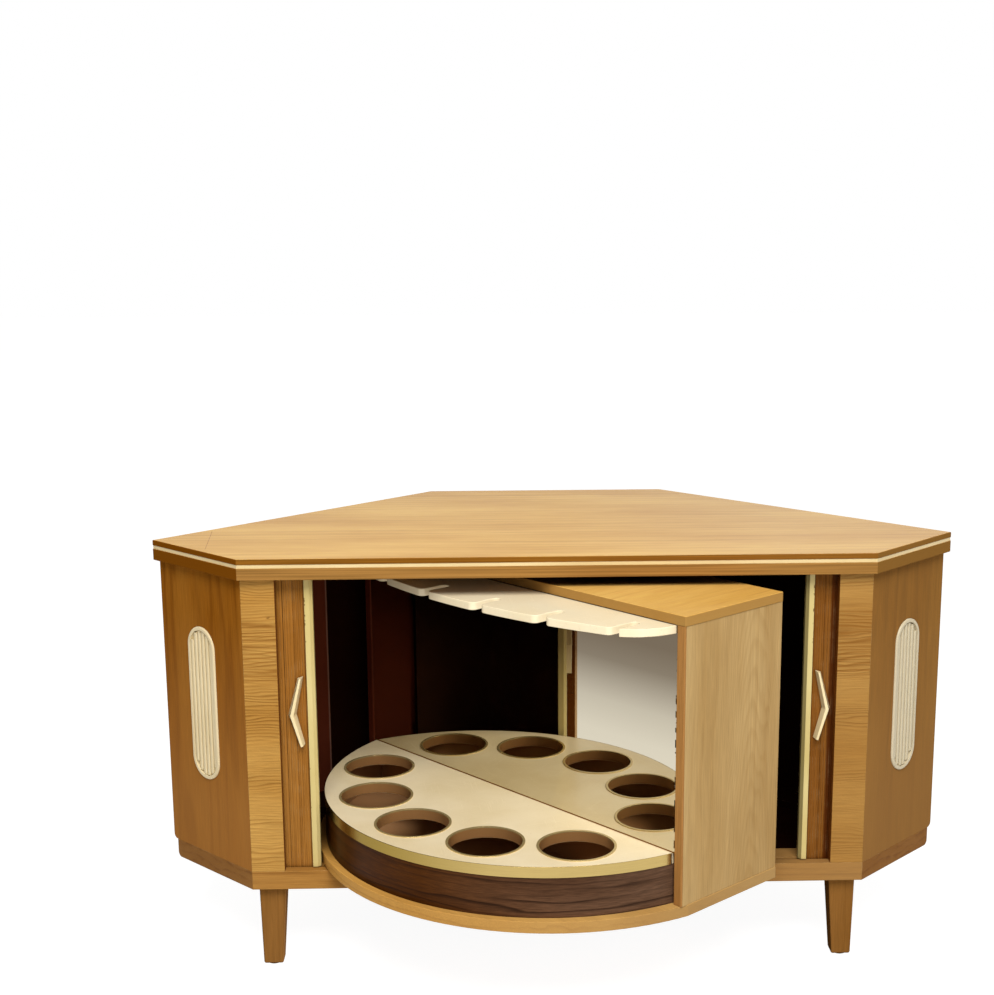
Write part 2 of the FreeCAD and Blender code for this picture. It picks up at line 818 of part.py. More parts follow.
def make_bar_base():
    base = arc_board(base_arc_radius, base_arc_offset, unit_half_width, unit_rear,
                     base_bottom, base_thickness)
    base = eased(eased(base, unit_edge_round, at_height(base_top)), unit_edge_round, at_height(base_bottom))
    bush_outer = spindle_radius + spindle_running_gap + bush_wall
    base = base.cut(disc(bush_outer + fit_gap, 0, 0, base_bottom - overrun, base_thickness + 2 * overrun))
    save("base_board", turned_out(base))
    bush = ring(spindle_radius + spindle_running_gap, bush_outer, base_bottom, base_thickness)
    save("spindle_bush", turned_out(bush))
    drum_outer = shelf_arc_radius - band_thickness - drum_recess
    drum = arc_wall(drum_outer, drum_thickness, shelf_arc_offset, mirror_back,
                    base_top, shelf_bottom - base_top)
    save("drum_wall", turned_out(drum))


def make_bar_shelf():
    radius = shelf_arc_radius - band_thickness
    half = math.sqrt(radius ** 2 - (unit_front - shelf_arc_offset) ** 2)
    shelf = arc_board(radius, shelf_arc_offset, half, mirror_back, shelf_bottom, shelf_thickness)
    sleeve = ring_bore_radius + ring_sleeve_thickness
    rings = []
    for x, y in bottle_holes():
        shelf = shelf.cut(disc(sleeve + fit_gap, x, y, shelf_bottom - overrun, shelf_thickness + 2 * overrun))
        collar = ring(ring_bore_radius, sleeve, shelf_top_height - ring_sleeve_depth, ring_sleeve_depth)
        flange = ring(ring_bore_radius, ring_flange_radius, shelf_top_height, ring_flange_height)
        whole = collar.fuse(flange).removeSplitter()
        whole.translate(at(x, y))
        rings.append(whole)
    save("bar_shelf", turned_out(shelf))
    save("bottle_rings", turned_out(group(rings)))
    band = arc_wall(shelf_arc_radius, band_thickness, shelf_arc_offset, -unit_front,
                    shelf_bottom, shelf_thickness)
    save("gold_band", turned_out(band))


def rack_screws():
    """Screws through the backing and the mirror into the edge of the glass rack."""
    middle = rack_top_height - rack_thickness / 2
    along = at(0, -1)
    screws = []
    holes = []
    for number in range(-rack_screws_each_side, rack_screws_each_side + 1):
        x = number * rack_slot_spacing
        shank = Part.makeCylinder(rack_screw_radius, rack_screw_length, at(x, backing_back, middle), along)
        head_back = at(x, backing_back + rack_screw_head, middle)
        head = Part.makeCylinder(rack_screw_head_radius, rack_screw_head, head_back, along)
        screws.append(shank.fuse(head).removeSplitter())
        holes.append(Part.makeCylinder(rack_screw_radius + fit_gap, rack_screw_length + fit_gap + overrun,
                                       at(x, backing_back + overrun, middle), along))
    return screws, holes


def shelf_pins():
    """Pins in the end panels that carry the storage shelf, and their holes."""
    pins = []
    holes = []
    low_y = backing_back + shelf_pin_inset
    high_y = unit_rear - storage_shelf_setback - shelf_pin_inset
    z = storage_shelf_height - shelf_pin_radius
    for sign in (-1, 1):
        for y in (low_y, high_y):
            start = at(sign * (end_panel_inner + shelf_pin_depth), y, z)
            pins.append(Part.makeCylinder(shelf_pin_radius, shelf_pin_length, start, at(-sign, 0)))
            hole_start = at(sign * (end_panel_inner + shelf_pin_depth + fit_gap), y, z)
            holes.append(Part.makeCylinder(shelf_pin_radius + fit_gap, shelf_pin_depth + fit_gap + overrun,
                                           hole_start, at(-sign, 0)))
    return pins, holes


def make_bar_case():
    """The flat box behind the bar: end panels, mirror, backing, top and storage shelf."""
    height = unit_top_lower - base_top
    pins, pin_holes = shelf_pins()
    screws, screw_holes = rack_screws()
    panel = block(at(end_panel_inner, -unit_front + lipping_thickness, base_top),
                  at(end_panel_outer, unit_rear, unit_top_lower))
    right_panel, left_panel = panel, mirrored(panel)
    for hole in pin_holes:
        right_panel = right_panel.cut(hole)
        left_panel = left_panel.cut(hole)
    save("right_end_panel", turned_out(right_panel))
    save("left_end_panel", turned_out(left_panel))
    lipping = block(at(end_panel_inner, -unit_front, base_top),
                    at(end_panel_outer, -unit_front + lipping_thickness, unit_top_lower))
    lipping = eased(lipping, unit_edge_round, lambda point: abs(point.y + unit_front) < fit_gap)
    save("end_panel_lippings", turned_out(group([lipping, mirrored(lipping)])))

    mirror = block(at(-end_panel_inner, mirror_front, shelf_top_height),
                   at(end_panel_inner, mirror_back, unit_top_lower))
    backing = block(at(-end_panel_inner, mirror_back, base_top),
                    at(end_panel_inner, backing_back, unit_top_lower))
    for hole in screw_holes:
        mirror = mirror.cut(hole)
        backing = backing.cut(hole)
    save("mirror", turned_out(mirror))
    save("mirror_backing", turned_out(backing))
    save("rack_screws", turned_out(group(screws)))

    top = block(at(-unit_half_width, -unit_front, unit_top_lower),
                at(unit_half_width, unit_rear, unit_top_upper))
    save("unit_top_board", turned_out(eased(top, unit_edge_round, anywhere)))
    shelf = block(at(-end_panel_inner + shelf_side_gap, backing_back, storage_shelf_height),
                  at(end_panel_inner - shelf_side_gap, unit_rear - storage_shelf_setback,
                     storage_shelf_height + storage_shelf_thickness))
    save("storage_shelf", turned_out(shelf))
    save("shelf_pins", turned_out(group(pins)))


def rack_front(x):
    """The front edge of the glass rack at x, a shallow arc."""
    return mirror_front - rack_reach + rack_arc_radius - math.sqrt(rack_arc_radius ** 2 - x ** 2)


def rack_board():
    """The rack's outline: a shallow front arc whose ends curl back to the mirror."""
    bottom = rack_top_height - rack_thickness
    tip = at(rack_tip, rack_front(rack_tip), bottom)
    foot = at(rack_half_length, mirror_front, bottom)
    bulge_x_share, bulge_y_share = rack_end_bulge_shares
    bulge = at(tip.x + (foot.x - tip.x) * bulge_x_share, tip.y + (foot.y - tip.y) * bulge_y_share, bottom)
    edges = [
        arc_through(at(-tip.x, tip.y, bottom), at(0, rack_front(0), bottom), tip),
        arc_through(tip, bulge, foot),
        Part.makeLine(foot, at(-foot.x, foot.y, bottom)),
        arc_through(at(-foot.x, foot.y, bottom), at(-bulge.x, bulge.y, bottom), at(-tip.x, tip.y, bottom)),
    ]
    return bounded_plate(edges, rack_thickness)


def slot_places():
    numbers = range(-rack_slots_each_side, rack_slots_each_side)
    return [(number + 0.5) * rack_slot_spacing for number in numbers]


def make_glass_rack():
    """The cream board with slots that stemmed glasses hang from."""
    rack = rack_board()
    bottom = rack_top_height - rack_thickness
    half = rack_slot_width / 2
    for x in slot_places():
        end = rack_front(x) + rack_slot_depth - half
        slot = block(at(x - half, rack_front(0) - overrun, bottom - overrun),
                     at(x + half, end, rack_top_height + overrun))
        rack = rack.cut(slot.fuse(disc(half, x, end, bottom - overrun, rack_thickness + 2 * overrun)))
    outermost = slot_places()[-1] + half

    def is_mouth(x, y):
        beside = min(abs(abs(x - place) - half) for place in slot_places()) < fit_gap
        return beside and abs(x) < outermost - fit_gap and y < rack_front(x) + half / 2

    rack = rack.makeFillet(rack_mouth_round, upright_edges(rack, is_mouth))
    for height in (bottom, rack_top_height):
        rack = eased(rack, rack_edge_round, at_height(height))
    for hole in rack_screws()[1]:
        rack = rack.cut(hole)
    save("glass_rack", turned_out(rack))


# Bearing and pivots

def ball_centres(radius, z):
    angles = [2 * math.pi * number / ball_count for number in range(ball_count)]
    return [at(radius * math.cos(angle), radius * math.sin(angle), z) for angle in angles]


def make_bearing():
    """A ball race between the floor and the base board, with its balls in a cage."""
    track_radius = (race_inner_radius + race_outer_radius) / 2
    middle = (floor_top + base_bottom) / 2
    track = Part.makeTorus(track_radius, ball_radius + race_groove_clearance, at(0, 0, middle))
    lower = ring(race_inner_radius, race_outer_radius, floor_top, race_thickness)
    upper = ring(race_inner_radius, race_outer_radius, base_bottom - race_thickness, race_thickness)
    save("lower_race", turned_out(lower.cut(track)))
    save("upper_race", turned_out(upper.cut(track)))
    cage = ring(race_inner_radius + cage_edge, race_outer_radius - cage_edge,
                middle - cage_thickness / 2, cage_thickness)
    balls = []
    for centre in ball_centres(track_radius, middle):
        cage = cage.cut(disc(ball_radius + cage_hole_clearance, centre.x, centre.y,
                             middle - cage_thickness, 2 * cage_thickness))
        balls.append(Part.makeSphere(ball_radius, centre))
    save("bearing_cage", turned_out(cage))
    save("bearing_balls", turned_out(group(balls)))


def make_pivots():
    """The spindle through floor and base, and the pin that steadies the top of the bar."""
    floor_bottom = floor_top - floor_thickness
    head = disc(spindle_head_radius, 0, 0, floor_bottom - spindle_head, spindle_head)
    shank = disc(spindle_radius, 0, 0, floor_bottom, base_top + nut_clearance - floor_bottom)
    nut = disc(spindle_nut_radius, 0, 0, base_top + nut_clearance, spindle_nut)
    save("pivot_spindle", turned_out(head.fuse(shank).fuse(nut).removeSplitter()))
    pin_top = body_top + pin_into_bush
    pin_foot = disc(pin_plate_radius, 0, 0, unit_top_upper, pin_plate)
    pin = disc(spindle_radius, 0, 0, unit_top_upper + pin_plate, pin_top - unit_top_upper - pin_plate)
    save("pivot_pin", turned_out(pin_foot.fuse(pin).removeSplitter()))
    bore = spindle_radius + spindle_running_gap
    bush = ring(bore, bore + bush_wall, body_top, top_bush_depth)
    flange = ring(bore, top_bush_flange_radius, body_top - top_bush_flange, top_bush_flange)
    save("pivot_bush", turned_out(bush.fuse(flange).removeSplitter()))


os.makedirs("parts", exist_ok=True)
make_top()
make_plinth()
make_legs()
make_panels()
make_doors()
make_bar_base()
make_bar_shelf()
make_bar_case()
make_glass_rack()
make_bearing()
make_pivots()
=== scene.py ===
import json
import math

import bmesh
import bpy
from mathutils import Matrix, Vector


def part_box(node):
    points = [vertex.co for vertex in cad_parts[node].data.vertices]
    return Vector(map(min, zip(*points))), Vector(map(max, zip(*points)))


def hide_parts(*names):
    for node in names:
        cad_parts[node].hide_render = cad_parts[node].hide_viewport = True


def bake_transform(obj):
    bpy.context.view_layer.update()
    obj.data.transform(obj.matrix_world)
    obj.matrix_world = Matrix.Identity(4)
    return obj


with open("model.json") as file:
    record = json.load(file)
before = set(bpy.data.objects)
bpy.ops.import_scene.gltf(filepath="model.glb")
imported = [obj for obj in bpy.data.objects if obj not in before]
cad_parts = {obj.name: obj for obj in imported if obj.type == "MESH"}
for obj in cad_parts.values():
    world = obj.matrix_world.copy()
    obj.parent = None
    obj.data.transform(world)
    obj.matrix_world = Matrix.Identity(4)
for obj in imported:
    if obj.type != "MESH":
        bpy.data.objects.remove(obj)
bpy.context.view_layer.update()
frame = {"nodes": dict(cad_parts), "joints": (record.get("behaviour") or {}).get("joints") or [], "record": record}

MM = 0.001
SLAB_LOW, SLAB_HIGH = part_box("top_board")
FLOOR_Z = 0.0

# Camera, solved from the corners of the top, the plinth and the legs in the photograph
IMAGE_WIDTH = 994
SENSOR_WIDTH_MM = 36.0
FOCAL_LENGTH_PIXELS = 1610.5
AXIS_RIGHT_OF_MIDDLE_PIXELS = 39.9
AXIS_BELOW_MIDDLE_PIXELS = 51.3
CAMERA_PLACE = Vector((-0.0969, -2.4260, 1.1292))
CAMERA_YAW = 0.02899
CAMERA_PITCH = 0.20919
CAMERA_ROLL = -0.00422

# The bar turns about this upright line and stands turned out. Its own axes start there: X runs along
# the mirror, and Y from the round front to the storage bay.
PIVOT = Vector(next(j["pos_m"] for j in frame["joints"] if j["name"] == "turntable_turn"))
TURN_OUT = math.radians(-48.65)
SHELF_ARC_OFFSET = 20 * MM
DRUM_INSIDE = 0.34
DRUM_FIGURE_RADIUS = 0.344
MIRROR_PLANE = -91 * MM
MIRROR_HALF = 0.3405

# Line that the canvas of a tambour curtain follows, from the slab's front edge
SIDE_EDGE_RUN = 148 * MM
CANVAS_FROM_FRONT = 35.5 * MM
CANVAS_FROM_SIDE = 33.5 * MM
CANVAS_FROM_WALL = 25.5 * MM
FRONT_BEND_RADIUS = 60 * MM
OUTER_BEND_RADIUS = 45 * MM
SLAT_COUNT = 20
SLAT_PITCH = 19.5 * MM
SLAT_WIDTH = 18.7 * MM
SLAT_THICKNESS = 7 * MM
SLAT_ROUND = 1.2 * MM
REEDS_PER_SLAT = 4
REED_DEPTH = 0.35 * MM
CANVAS_THICKNESS = 0.8 * MM
CANVAS_MARGIN = 15 * MM
CANVAS_START = 0.2 * MM
CANVAS_STEP = 6 * MM
ARC_STEPS = 4

# Where the cabinet's marks lie. Heights run up from the floor, and a pair says where a change starts
# and where it ends.
DOOR_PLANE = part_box("left_door_stile")[0].y
SHADE_STARTS = DOOR_PLANE - 25 * MM
SHADE_FULL = DOOR_PLANE + 80 * MM
BACK_RAIL_FROM = 0.2
LIT_WALL_END = -0.3745
WALL_JOINT = 1.6 * MM
RIGHT_LIGHT_FULL = 0.35
RIGHT_LIGHT_BASE_STARTS = -0.3
SEAM_START = (-518 * MM, SLAB_LOW.y + 74 * MM)
SEAM_END = (-530 * MM, SLAB_LOW.y + 209 * MM)
SEAM_WIDTH = 0.9 * MM
KNOT_PLACE = (-421 * MM, SLAB_LOW.y + 12 * MM, 0.549)
KNOT_SIZE = 4.5 * MM
KNOT_STRETCH = 1.6
BOLD_BANDS = (0.46, 0.545)
BOLD_BAND_PITCH = 7.5 * MM
CASE_PALES = (0.54, 0.24)
DRUM_LEFT_SHADE = (0.1, -0.2)
BRASS_LEFT_SHADE = (-0.1, -0.28)
ARCH_MIDDLE = 0.05
ARCH_REACH = (0.0, 0.11)
ARCH_PITCH = 42 * MM
ARCH_STEEPNESS = 110.0
PILASTER_SHADE = 7 * MM
TOP_SHADE = 45 * MM
CHIPPED = (0.51, 0.585)
CHIP_DEPTH = 1.4 * MM
HOLE_RIM = 0.6 * MM
HOLE_MARGIN = 6 * MM
MIRROR_DARK_REFLECTION = (0.3, 0.54)
FOOT_LINE = 2.2 * MM
DASH_PITCH = 9 * MM
DASH_DEPTH = 2.5 * MM
DASHES_BELOW = 0.48
WEAVE = 0.9 * MM

# Light and floor: each lamp's place, width, height, power and colour
WORLD_FILL = 0.25
FLOOR_SIZE = 30.0
FLOOR_GLOW = 0.93
FLOOR_SHADED = (0.3, 0.3, 0.3, 1.0)
FLOOR_LIT = (0.8, 0.8, 0.8, 1.0)
LAMPS_AIM = (0.0, 0.0, 0.35)
LAMPS = {
    "key_light": ((0.15, -2.4, 3.2), 2.2, 1.8, 150.0, (1.0, 0.97, 0.92)),
    "front_light": ((0.6, -4.0, 1.3), 2.0, 2.0, 18.0, (1.0, 0.98, 0.95)),
    "side_light": ((3.6, -1.6, 1.2), 1.5, 1.5, 6.0, (0.85, 0.92, 1.0)),
}


def tone(red, green, blue):
    """A colour as it is seen, 0 to 255, in the values that a shader takes."""
    shares = [value / 255 for value in (red, green, blue)]
    linear = [s / 12.92 if s <= 0.04045 else ((s + 0.055) / 1.055) ** 2.4 for s in shares]
    return (*linear, 1.0)


class Look:
    """One material in the making. Patterns are placed by the cabinet's own coordinates."""

    def __init__(self, name, **sockets):
        self.material = bpy.data.materials.new(name)
        self.material.use_nodes = True
        self.tree = self.material.node_tree
        self.shader = self.tree.nodes["Principled BSDF"]
        coordinates = self.node("TexCoord").outputs
        self.here = coordinates["Object"]
        self.facing = coordinates["Normal"]
        for socket, value in sockets.items():
            self.put(self.shader.inputs[socket.replace("_", " ")], value)

    def put(self, socket, value):
        """Links a node's output to a socket, or sets the socket to a plain value."""
        if isinstance(value, bpy.types.NodeSocket):
            self.tree.links.new(value, socket)
        else:
            socket.default_value = value

    def node(self, kind, inputs=None, **settings):
        made = self.tree.nodes.new("ShaderNode" + kind)
        for name, value in settings.items():
            setattr(made, name, value)
        for name, value in (inputs or {}).items():
            self.put(made.inputs[name], value)
        return made

    def turned(self, turn=0.0, centre=(0, 0, 0)):
        """Coordinates from a centre, in axes turned about the upright."""
        return self.node("Mapping", {"Vector": self.here, "Location": centre, "Rotation": (0, 0, turn)},
                         vector_type="TEXTURE").outputs["Vector"]

    def round_the_arc(self, centre, radius):
        """Coordinates along an upright arc: along it, out from its centre, and up."""
        x, y, z = self.split(self.turned(0.0, centre))
        along = self.times(self.calc("ARCTAN2", y, x), radius)
        return self.node("CombineXYZ", {"X": along, "Y": self.distance(x, y), "Z": z}).outputs["Vector"]

    def split(self, vector):
        """The three parts of a vector."""
        return self.node("SeparateXYZ", {"Vector": vector}).outputs

    def calc(self, operation, first, second=0.0):
        return self.node("Math", {0: first, 1: second}, operation=operation).outputs[0]

    def times(self, first, second):
        return self.calc("MULTIPLY", first, second)

    def plus(self, first, second):
        return self.calc("ADD", first, second)

    def minus(self, first, second):
        return self.calc("SUBTRACT", first, second)

    def divided(self, first, second):
        return self.calc("DIVIDE", first, second)

    def larger(self, first, second):
        return self.calc("MAXIMUM", first, second)

    def below(self, value, limit):
        """1 where the value is below the limit, and 0 elsewhere."""
        return self.calc("LESS_THAN", value, limit)

    def above(self, value, limit):
        """1 where the value is above the limit, and 0 elsewhere."""
        return self.calc("GREATER_THAN", value, limit)

    def distance(self, x, y):
        """How far a point lies from the axis that x and y are measured from."""
        return self.calc("SQRT", self.plus(self.times(x, x), self.times(y, y)))

    def agreement(self, first, second):
        """How far two directions agree, from -1 to 1."""
        return self.node("VectorMath", {0: first, 1: second}, operation="DOT_PRODUCT").outputs["Value"]

    def rise(self, value, start, end):
        """0 at the start and 1 at the end, even between them and level outside."""
        return self.node("MapRange", {"Value": value, "From Min": start, "From Max": end}).outputs["Result"]

    def noise(self, where, sizes, detail=2.0, rough=0.5):
        """Noise whose blobs have the given sizes along the three axes."""
        scaled = self.node("Mapping", {"Vector": where, "Scale": sizes}, vector_type="TEXTURE")
        return self.node("TexNoise", {"Vector": scaled.outputs["Vector"], "Scale": 1.0, "Detail": detail,
                                      "Roughness": rough}).outputs[0]

    def curve(self, value, *stops):
        """Straight runs between (value, result) stops."""
        ramp = self.node("ValToRGB", {"Fac": value})
        elements = ramp.color_ramp.elements
        while len(elements) < len(stops):
            elements.new(1.0)
        for element, (place, result) in zip(elements, stops):
            element.position = place
            element.color = (result, result, result, 1.0)
        return ramp.outputs["Color"]

    def mix(self, share, first, second, blend="MIX"):
        """The first colour where the share is 0, and the second where it is 1."""
        mixer = self.node("Mix", data_type="RGBA", blend_type=blend)
        for index, value in ((0, share), (6, first), (7, second)):
            self.put(mixer.inputs[index], value)
        return mixer.outputs[2]

    def edges(self, radius):
        """High on the corners and edges of the solid, and a normal that rounds them a little."""
        soft = self.node("Bevel", {"Radius": radius}, samples=4).outputs["Normal"]
        plain = self.node("NewGeometry").outputs["Normal"]
        same = self.agreement(soft, plain)
        return self.curve(self.minus(1.0, same), (0.01, 0.0), (0.16, 1.0)), soft

    def relief(self, height, depth, normal=None):
        """Fine relief of a given depth in metres, on top of rounded edges where their normal is given."""
        bump = self.node("Bump", {"Height": height, "Distance": depth, "Strength": 1.0})
        if normal is not None:
            self.put(bump.inputs["Normal"], normal)
        self.put(self.shader.inputs["Normal"], bump.outputs["Normal"])

    def colour(self, value):
        self.put(self.shader.inputs["Base Color"], value)

    def roughness(self, pattern, low, high):
        """Roughness from low where the pattern is 0 to high where it is 1."""
        spread = self.node("MapRange", {"Value": pattern, "To Min": low, "To Max": high})
        self.put(self.shader.inputs["Roughness"], spread.outputs["Result"])


# Wood. Marks pick faces by their normals, whose parts along each axis run from -1 to 1.

X, Y, Z = 0, 1, 2
INNER_STAIN_AND_SHADE = tone(28, 9, 3)
WELL_BROWN = tone(146, 108, 72)
WORN_EDGE = tone(238, 205, 150)
TOP_SHINE = 0.03
DEEP_SHADE = 0.8
SHARP_LINE = ((0.0, 0.0), (0.55, 0.12), (0.9, 1.0), (1.0, 0.0))
BROAD_BAND = ((0.0, 0.1), (0.2, 0.0), (0.5, 0.25), (0.72, 1.0), (0.88, 0.9), (1.0, 0.1))


def stretched(axis, along, across):
    """Sizes of the blobs of a noise that is drawn out along one axis."""
    sizes = [across] * 3
    sizes[axis] = along
    return sizes


def growth_lines(look, place, along, across, pitch, warp, figure, patches, profile):
    """Lines that wander with slow waves and come and go in long patches."""
    waves = look.noise(place, stretched(along, *figure), detail=2.0, rough=0.45)
    run = look.divided(look.split(place)[across], pitch)
    phase = look.calc("FRACT", look.plus(run, look.times(waves, warp)))
    line = look.curve(phase, *profile)
    strong = look.curve(look.noise(place, stretched(along, *patches)), (0.38, 0.15), (0.62, 1.0))
    return look.times(line, strong)


def end_faces(look, along, turn):
    """High on the faces that the grain runs out of."""
    way = [0.0, 0.0, 0.0]
    way[along] = 1.0
    way = Matrix.Rotation(turn, 3, "Z") @ Vector(way)
    ends = look.calc("ABSOLUTE", look.agreement(look.facing, way))
    return look.calc("POWER", ends, 2.0)


def wood(name, dark, deep, pale, along, across, turn=0.0, where=None, pitch=9 * MM, warp=2.2,
         figure=(0.55, 0.035), lines=0.45, patches=(0.5, 0.05), fibre=(0.045, 0.9 * MM), grain=0.35,
         gloss=(0.3, 0.45), shine=0.05, depth=0.08 * MM, end_grain=0.55, worn=0.2, profile=SHARP_LINE,
         marks=None):
    """Varnished wood: slow drift of tone, growth lines, fibres, darker end grain and worn edges.

    along and across are the axes of the grain and of the lines, in axes turned by turn."""
    look = Look(name, Specular_IOR_Level=shine)
    place = look.turned(turn) if where is None else where(look)
    drift = look.noise(place, stretched(along, 0.4, 0.09), detail=3.0)
    drawn = growth_lines(look, place, along, across, pitch, warp, figure, patches, profile)
    fine = look.noise(place, stretched(along, *fibre), detail=3.0, rough=0.6)
    colour = look.mix(look.curve(drift, (0.35, 0.0), (0.65, 1.0)), deep, pale)
    colour = look.mix(look.times(drawn, lines), colour, dark)
    colour = look.mix(grain, colour, look.curve(fine, (0.3, 0.25), (0.7, 0.75)), "OVERLAY")
    colour = look.mix(look.times(end_faces(look, along, turn), end_grain), colour, dark)
    if marks:
        colour = marks(look, colour)
    edge, soft = look.edges(1.2 * MM)
    patchy = look.curve(look.noise(look.here, (0.02, 0.02, 0.02), detail=4.0), (0.45, 0.0), (0.7, 1.0))
    look.colour(look.mix(look.times(look.times(edge, patchy), worn), colour, WORN_EDGE))
    look.roughness(fine, *gloss)
    look.relief(look.minus(fine, drawn), depth, soft)
    return look.material


def seam(look, colour, first, last, width, dark):
    """A thin dark joint between two sheets of veneer, on a straight line seen from above."""
    way = Vector(last) - Vector(first)
    turn = math.atan2(way.y, way.x)
    x, y, _ = look.split(look.turned(turn, (*first, 0)))
    near = look.below(look.calc("ABSOLUTE", y), width / 2)
    within = look.times(look.above(x, 0.0), look.below(x, way.length))
    return look.mix(look.times(look.times(near, within), 0.7), colour, dark)


def in_bar(look):
    """Coordinates in the bar's own axes."""
    return look.turned(TURN_OUT, tuple(PIVOT))


def shadow(look, colour, reach, dark, weight, full=0.35, none=0.85):
    """Painted shade, with some dirt, where another piece stands close by."""
    open_air = look.node("AmbientOcclusion", {"Distance": reach}, samples=8).outputs["AO"]
    shade = look.curve(open_air, (full, 1.0), (none, 0.0))
    return look.mix(look.times(shade, weight), colour, dark)


def between(look, value, low, high, soft):
    """1 between two limits, fading over a short run outside them."""
    return look.times(look.rise(value, low - soft, low), look.rise(value, high + soft, high))


def painted_light_on_right(look, colour, share, other, start=0.0):
    """Painted light: drifts towards another colour to the right of the start, for the duller, greyer light on the
    right.
    """
    right = look.rise(look.split(look.here)[X], start, RIGHT_LIGHT_FULL)
    return look.mix(look.times(right, share), colour, other)


def deep_inside(look, colour, dark):
    """Painted shade: darkens what stands behind the plane of the doors."""
    depth = look.rise(look.split(look.here)[Y], SHADE_STARTS, SHADE_FULL)
    return look.mix(look.times(depth, DEEP_SHADE), colour, dark)


def inside_drum(look, margin=0.0):
    """1 within the half round that the drum encloses, in front of the mirror."""
    x, y, _ = look.split(in_bar(look))
    front = look.below(y, MIRROR_PLANE)
    away = look.distance(x, look.plus(y, SHELF_ARC_OFFSET))
    return look.times(look.below(away, DRUM_INSIDE - margin), front)


def top_marks(look, colour):
    """A band round the top's edge, darker from end grain and painted shade, duller and streaked, and a joint in
    the veneer.
    """
    sideways, _, upward = look.split(look.facing)
    height = look.split(look.here)[Z]
    # Painted light: the top greys towards the right.
    colour = painted_light_on_right(look, colour, 0.25, tone(208, 184, 152))
    band = look.below(upward, 0.9)
    gloss = look.times(look.minus(1.0, band), TOP_SHINE)
    look.put(look.shader.inputs["Specular IOR Level"], gloss)
    colour = look.mix(look.times(band, 0.93), colour, tone(124, 76, 16))
    lower = look.times(band, look.below(height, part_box("top_frame")[1].z + 0.5 * MM))
    colour = look.mix(lower, colour, tone(150, 109, 56))
    streak = look.noise(look.here, (0.22, 0.22, 2.4 * MM), detail=2.0)
    streak = look.curve(streak, (0.35, 0.38), (0.65, 0.6))
    colour = look.mix(band, colour, look.mix(1.0, colour, streak, "OVERLAY"))
    # Painted shade on the band's slanted faces, deeper on those that look left.
    leftward = look.below(sideways, -0.5)
    colour = look.mix(look.times(leftward, 0.97), colour, tone(116, 66, 8))
    rightward = look.above(sideways, 0.5)
    colour = look.mix(look.times(rightward, 0.97), colour, tone(132, 94, 44))
    return seam(look, colour, SEAM_START, SEAM_END, SEAM_WIDTH, tone(150, 92, 40))


def knot(look, colour, centre, size, dark):
    """A small knot, drawn out along the grain."""
    offset = look.node("VectorMath", {0: look.here, 1: centre}, operation="SUBTRACT").outputs["Vector"]
    shares = (1 / (KNOT_STRETCH * size), 1 / size, 1 / size)
    scaled = look.node("VectorMath", {0: offset, 1: shares}, operation="MULTIPLY").outputs["Vector"]
    away = look.node("VectorMath", {0: scaled}, operation="LENGTH").outputs["Value"]
    rough = look.plus(away, look.noise(look.here, (0.004, 0.004, 0.002), detail=2.0))
    return look.mix(look.curve(rough, (0.5, 0.75), (1.5, 0.0)), colour, dark)


def pilaster_marks(look, colour):
    """Painted light greys the right; bold bands in the upper half; a knot; stain and painted shade on the sides at
    the doors.
    """
    x, _, z = look.split(look.here)
    wave = look.noise(look.here, (0.14, 0.05, 0.03), detail=2.0, rough=0.45)
    phase = look.calc("FRACT", look.plus(look.divided(z, BOLD_BAND_PITCH), look.times(wave, 4.5)))
    bold = look.times(look.curve(phase, *BROAD_BAND), between(look, z, *BOLD_BANDS, 0.02))
    colour = painted_light_on_right(look, colour, 0.5, tone(138, 99, 52))
    colour = look.mix(look.times(bold, 0.55), colour, tone(118, 70, 18))
    colour = knot(look, colour, KNOT_PLACE, KNOT_SIZE, tone(78, 42, 14))
    # Stain and painted shade on the sides that face the doors.
    inward = look.times(look.split(look.facing)[X], look.calc("SIGN", x))
    colour = look.mix(look.below(inward, -0.6), colour, tone(116, 68, 24))
    return dark_inside(look, colour)


def tambour_marks(look, colour):
    """Painted light makes it redder and darker on the right, with painted shade beside the pilasters."""
    colour = painted_light_on_right(look, colour, 0.5, tone(88, 42, 8))
    colour = shadow(look, colour, PILASTER_SHADE, tone(56, 22, 2), 0.65)
    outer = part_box("right_pilaster")[0].x
    beside = between(look, look.split(look.here)[X], outer - PILASTER_SHADE, outer + 0.1, 2 * MM)
    colour = look.mix(look.times(beside, 0.85), colour, tone(66, 24, 2))
    return dark_inside(look, colour)


def case_marks(look, colour):
    """Painted light greys it on the right, and it is a little paler towards the floor."""
    low = look.rise(look.split(look.here)[Z], *CASE_PALES)
    colour = look.mix(look.times(low, 0.5), colour, tone(168, 118, 66))
    return dark_inside(look, painted_light_on_right(look, colour, 0.4, tone(122, 102, 66)))


def plinth_marks(look, colour):
    """Painted light greys the right of the front; stain and painted shade darken the inside and the upper edges
    behind the doors.
    """
    sideways, out, up = look.split(look.facing)
    y = look.split(look.here)[Y]
    upper = look.times(look.above(up, 0.7), look.above(y, SHADE_FULL))
    inner = look.times(look.below(out, -0.3), look.above(y, 0.0))
    front = look.below(look.calc("ABSOLUTE", sideways), 0.5)
    colour = painted_light_on_right(look, colour, look.times(front, 0.4), tone(160, 128, 84))
    colour = look.mix(look.larger(upper, inner), colour, INNER_STAIN_AND_SHADE)
    return dark_inside(look, colour)


def leg_marks(look, colour):
    """Painted shade and light: darker on the faces that look to the left, and paler on those that look to the
    right.
    """
    sideways = look.split(look.facing)[X]
    left = look.times(look.below(sideways, -0.8), 0.7)
    colour = look.mix(left, colour, tone(44, 22, 8))
    return look.mix(look.times(look.above(sideways, 0.8), 0.8), colour, tone(176, 128, 78))


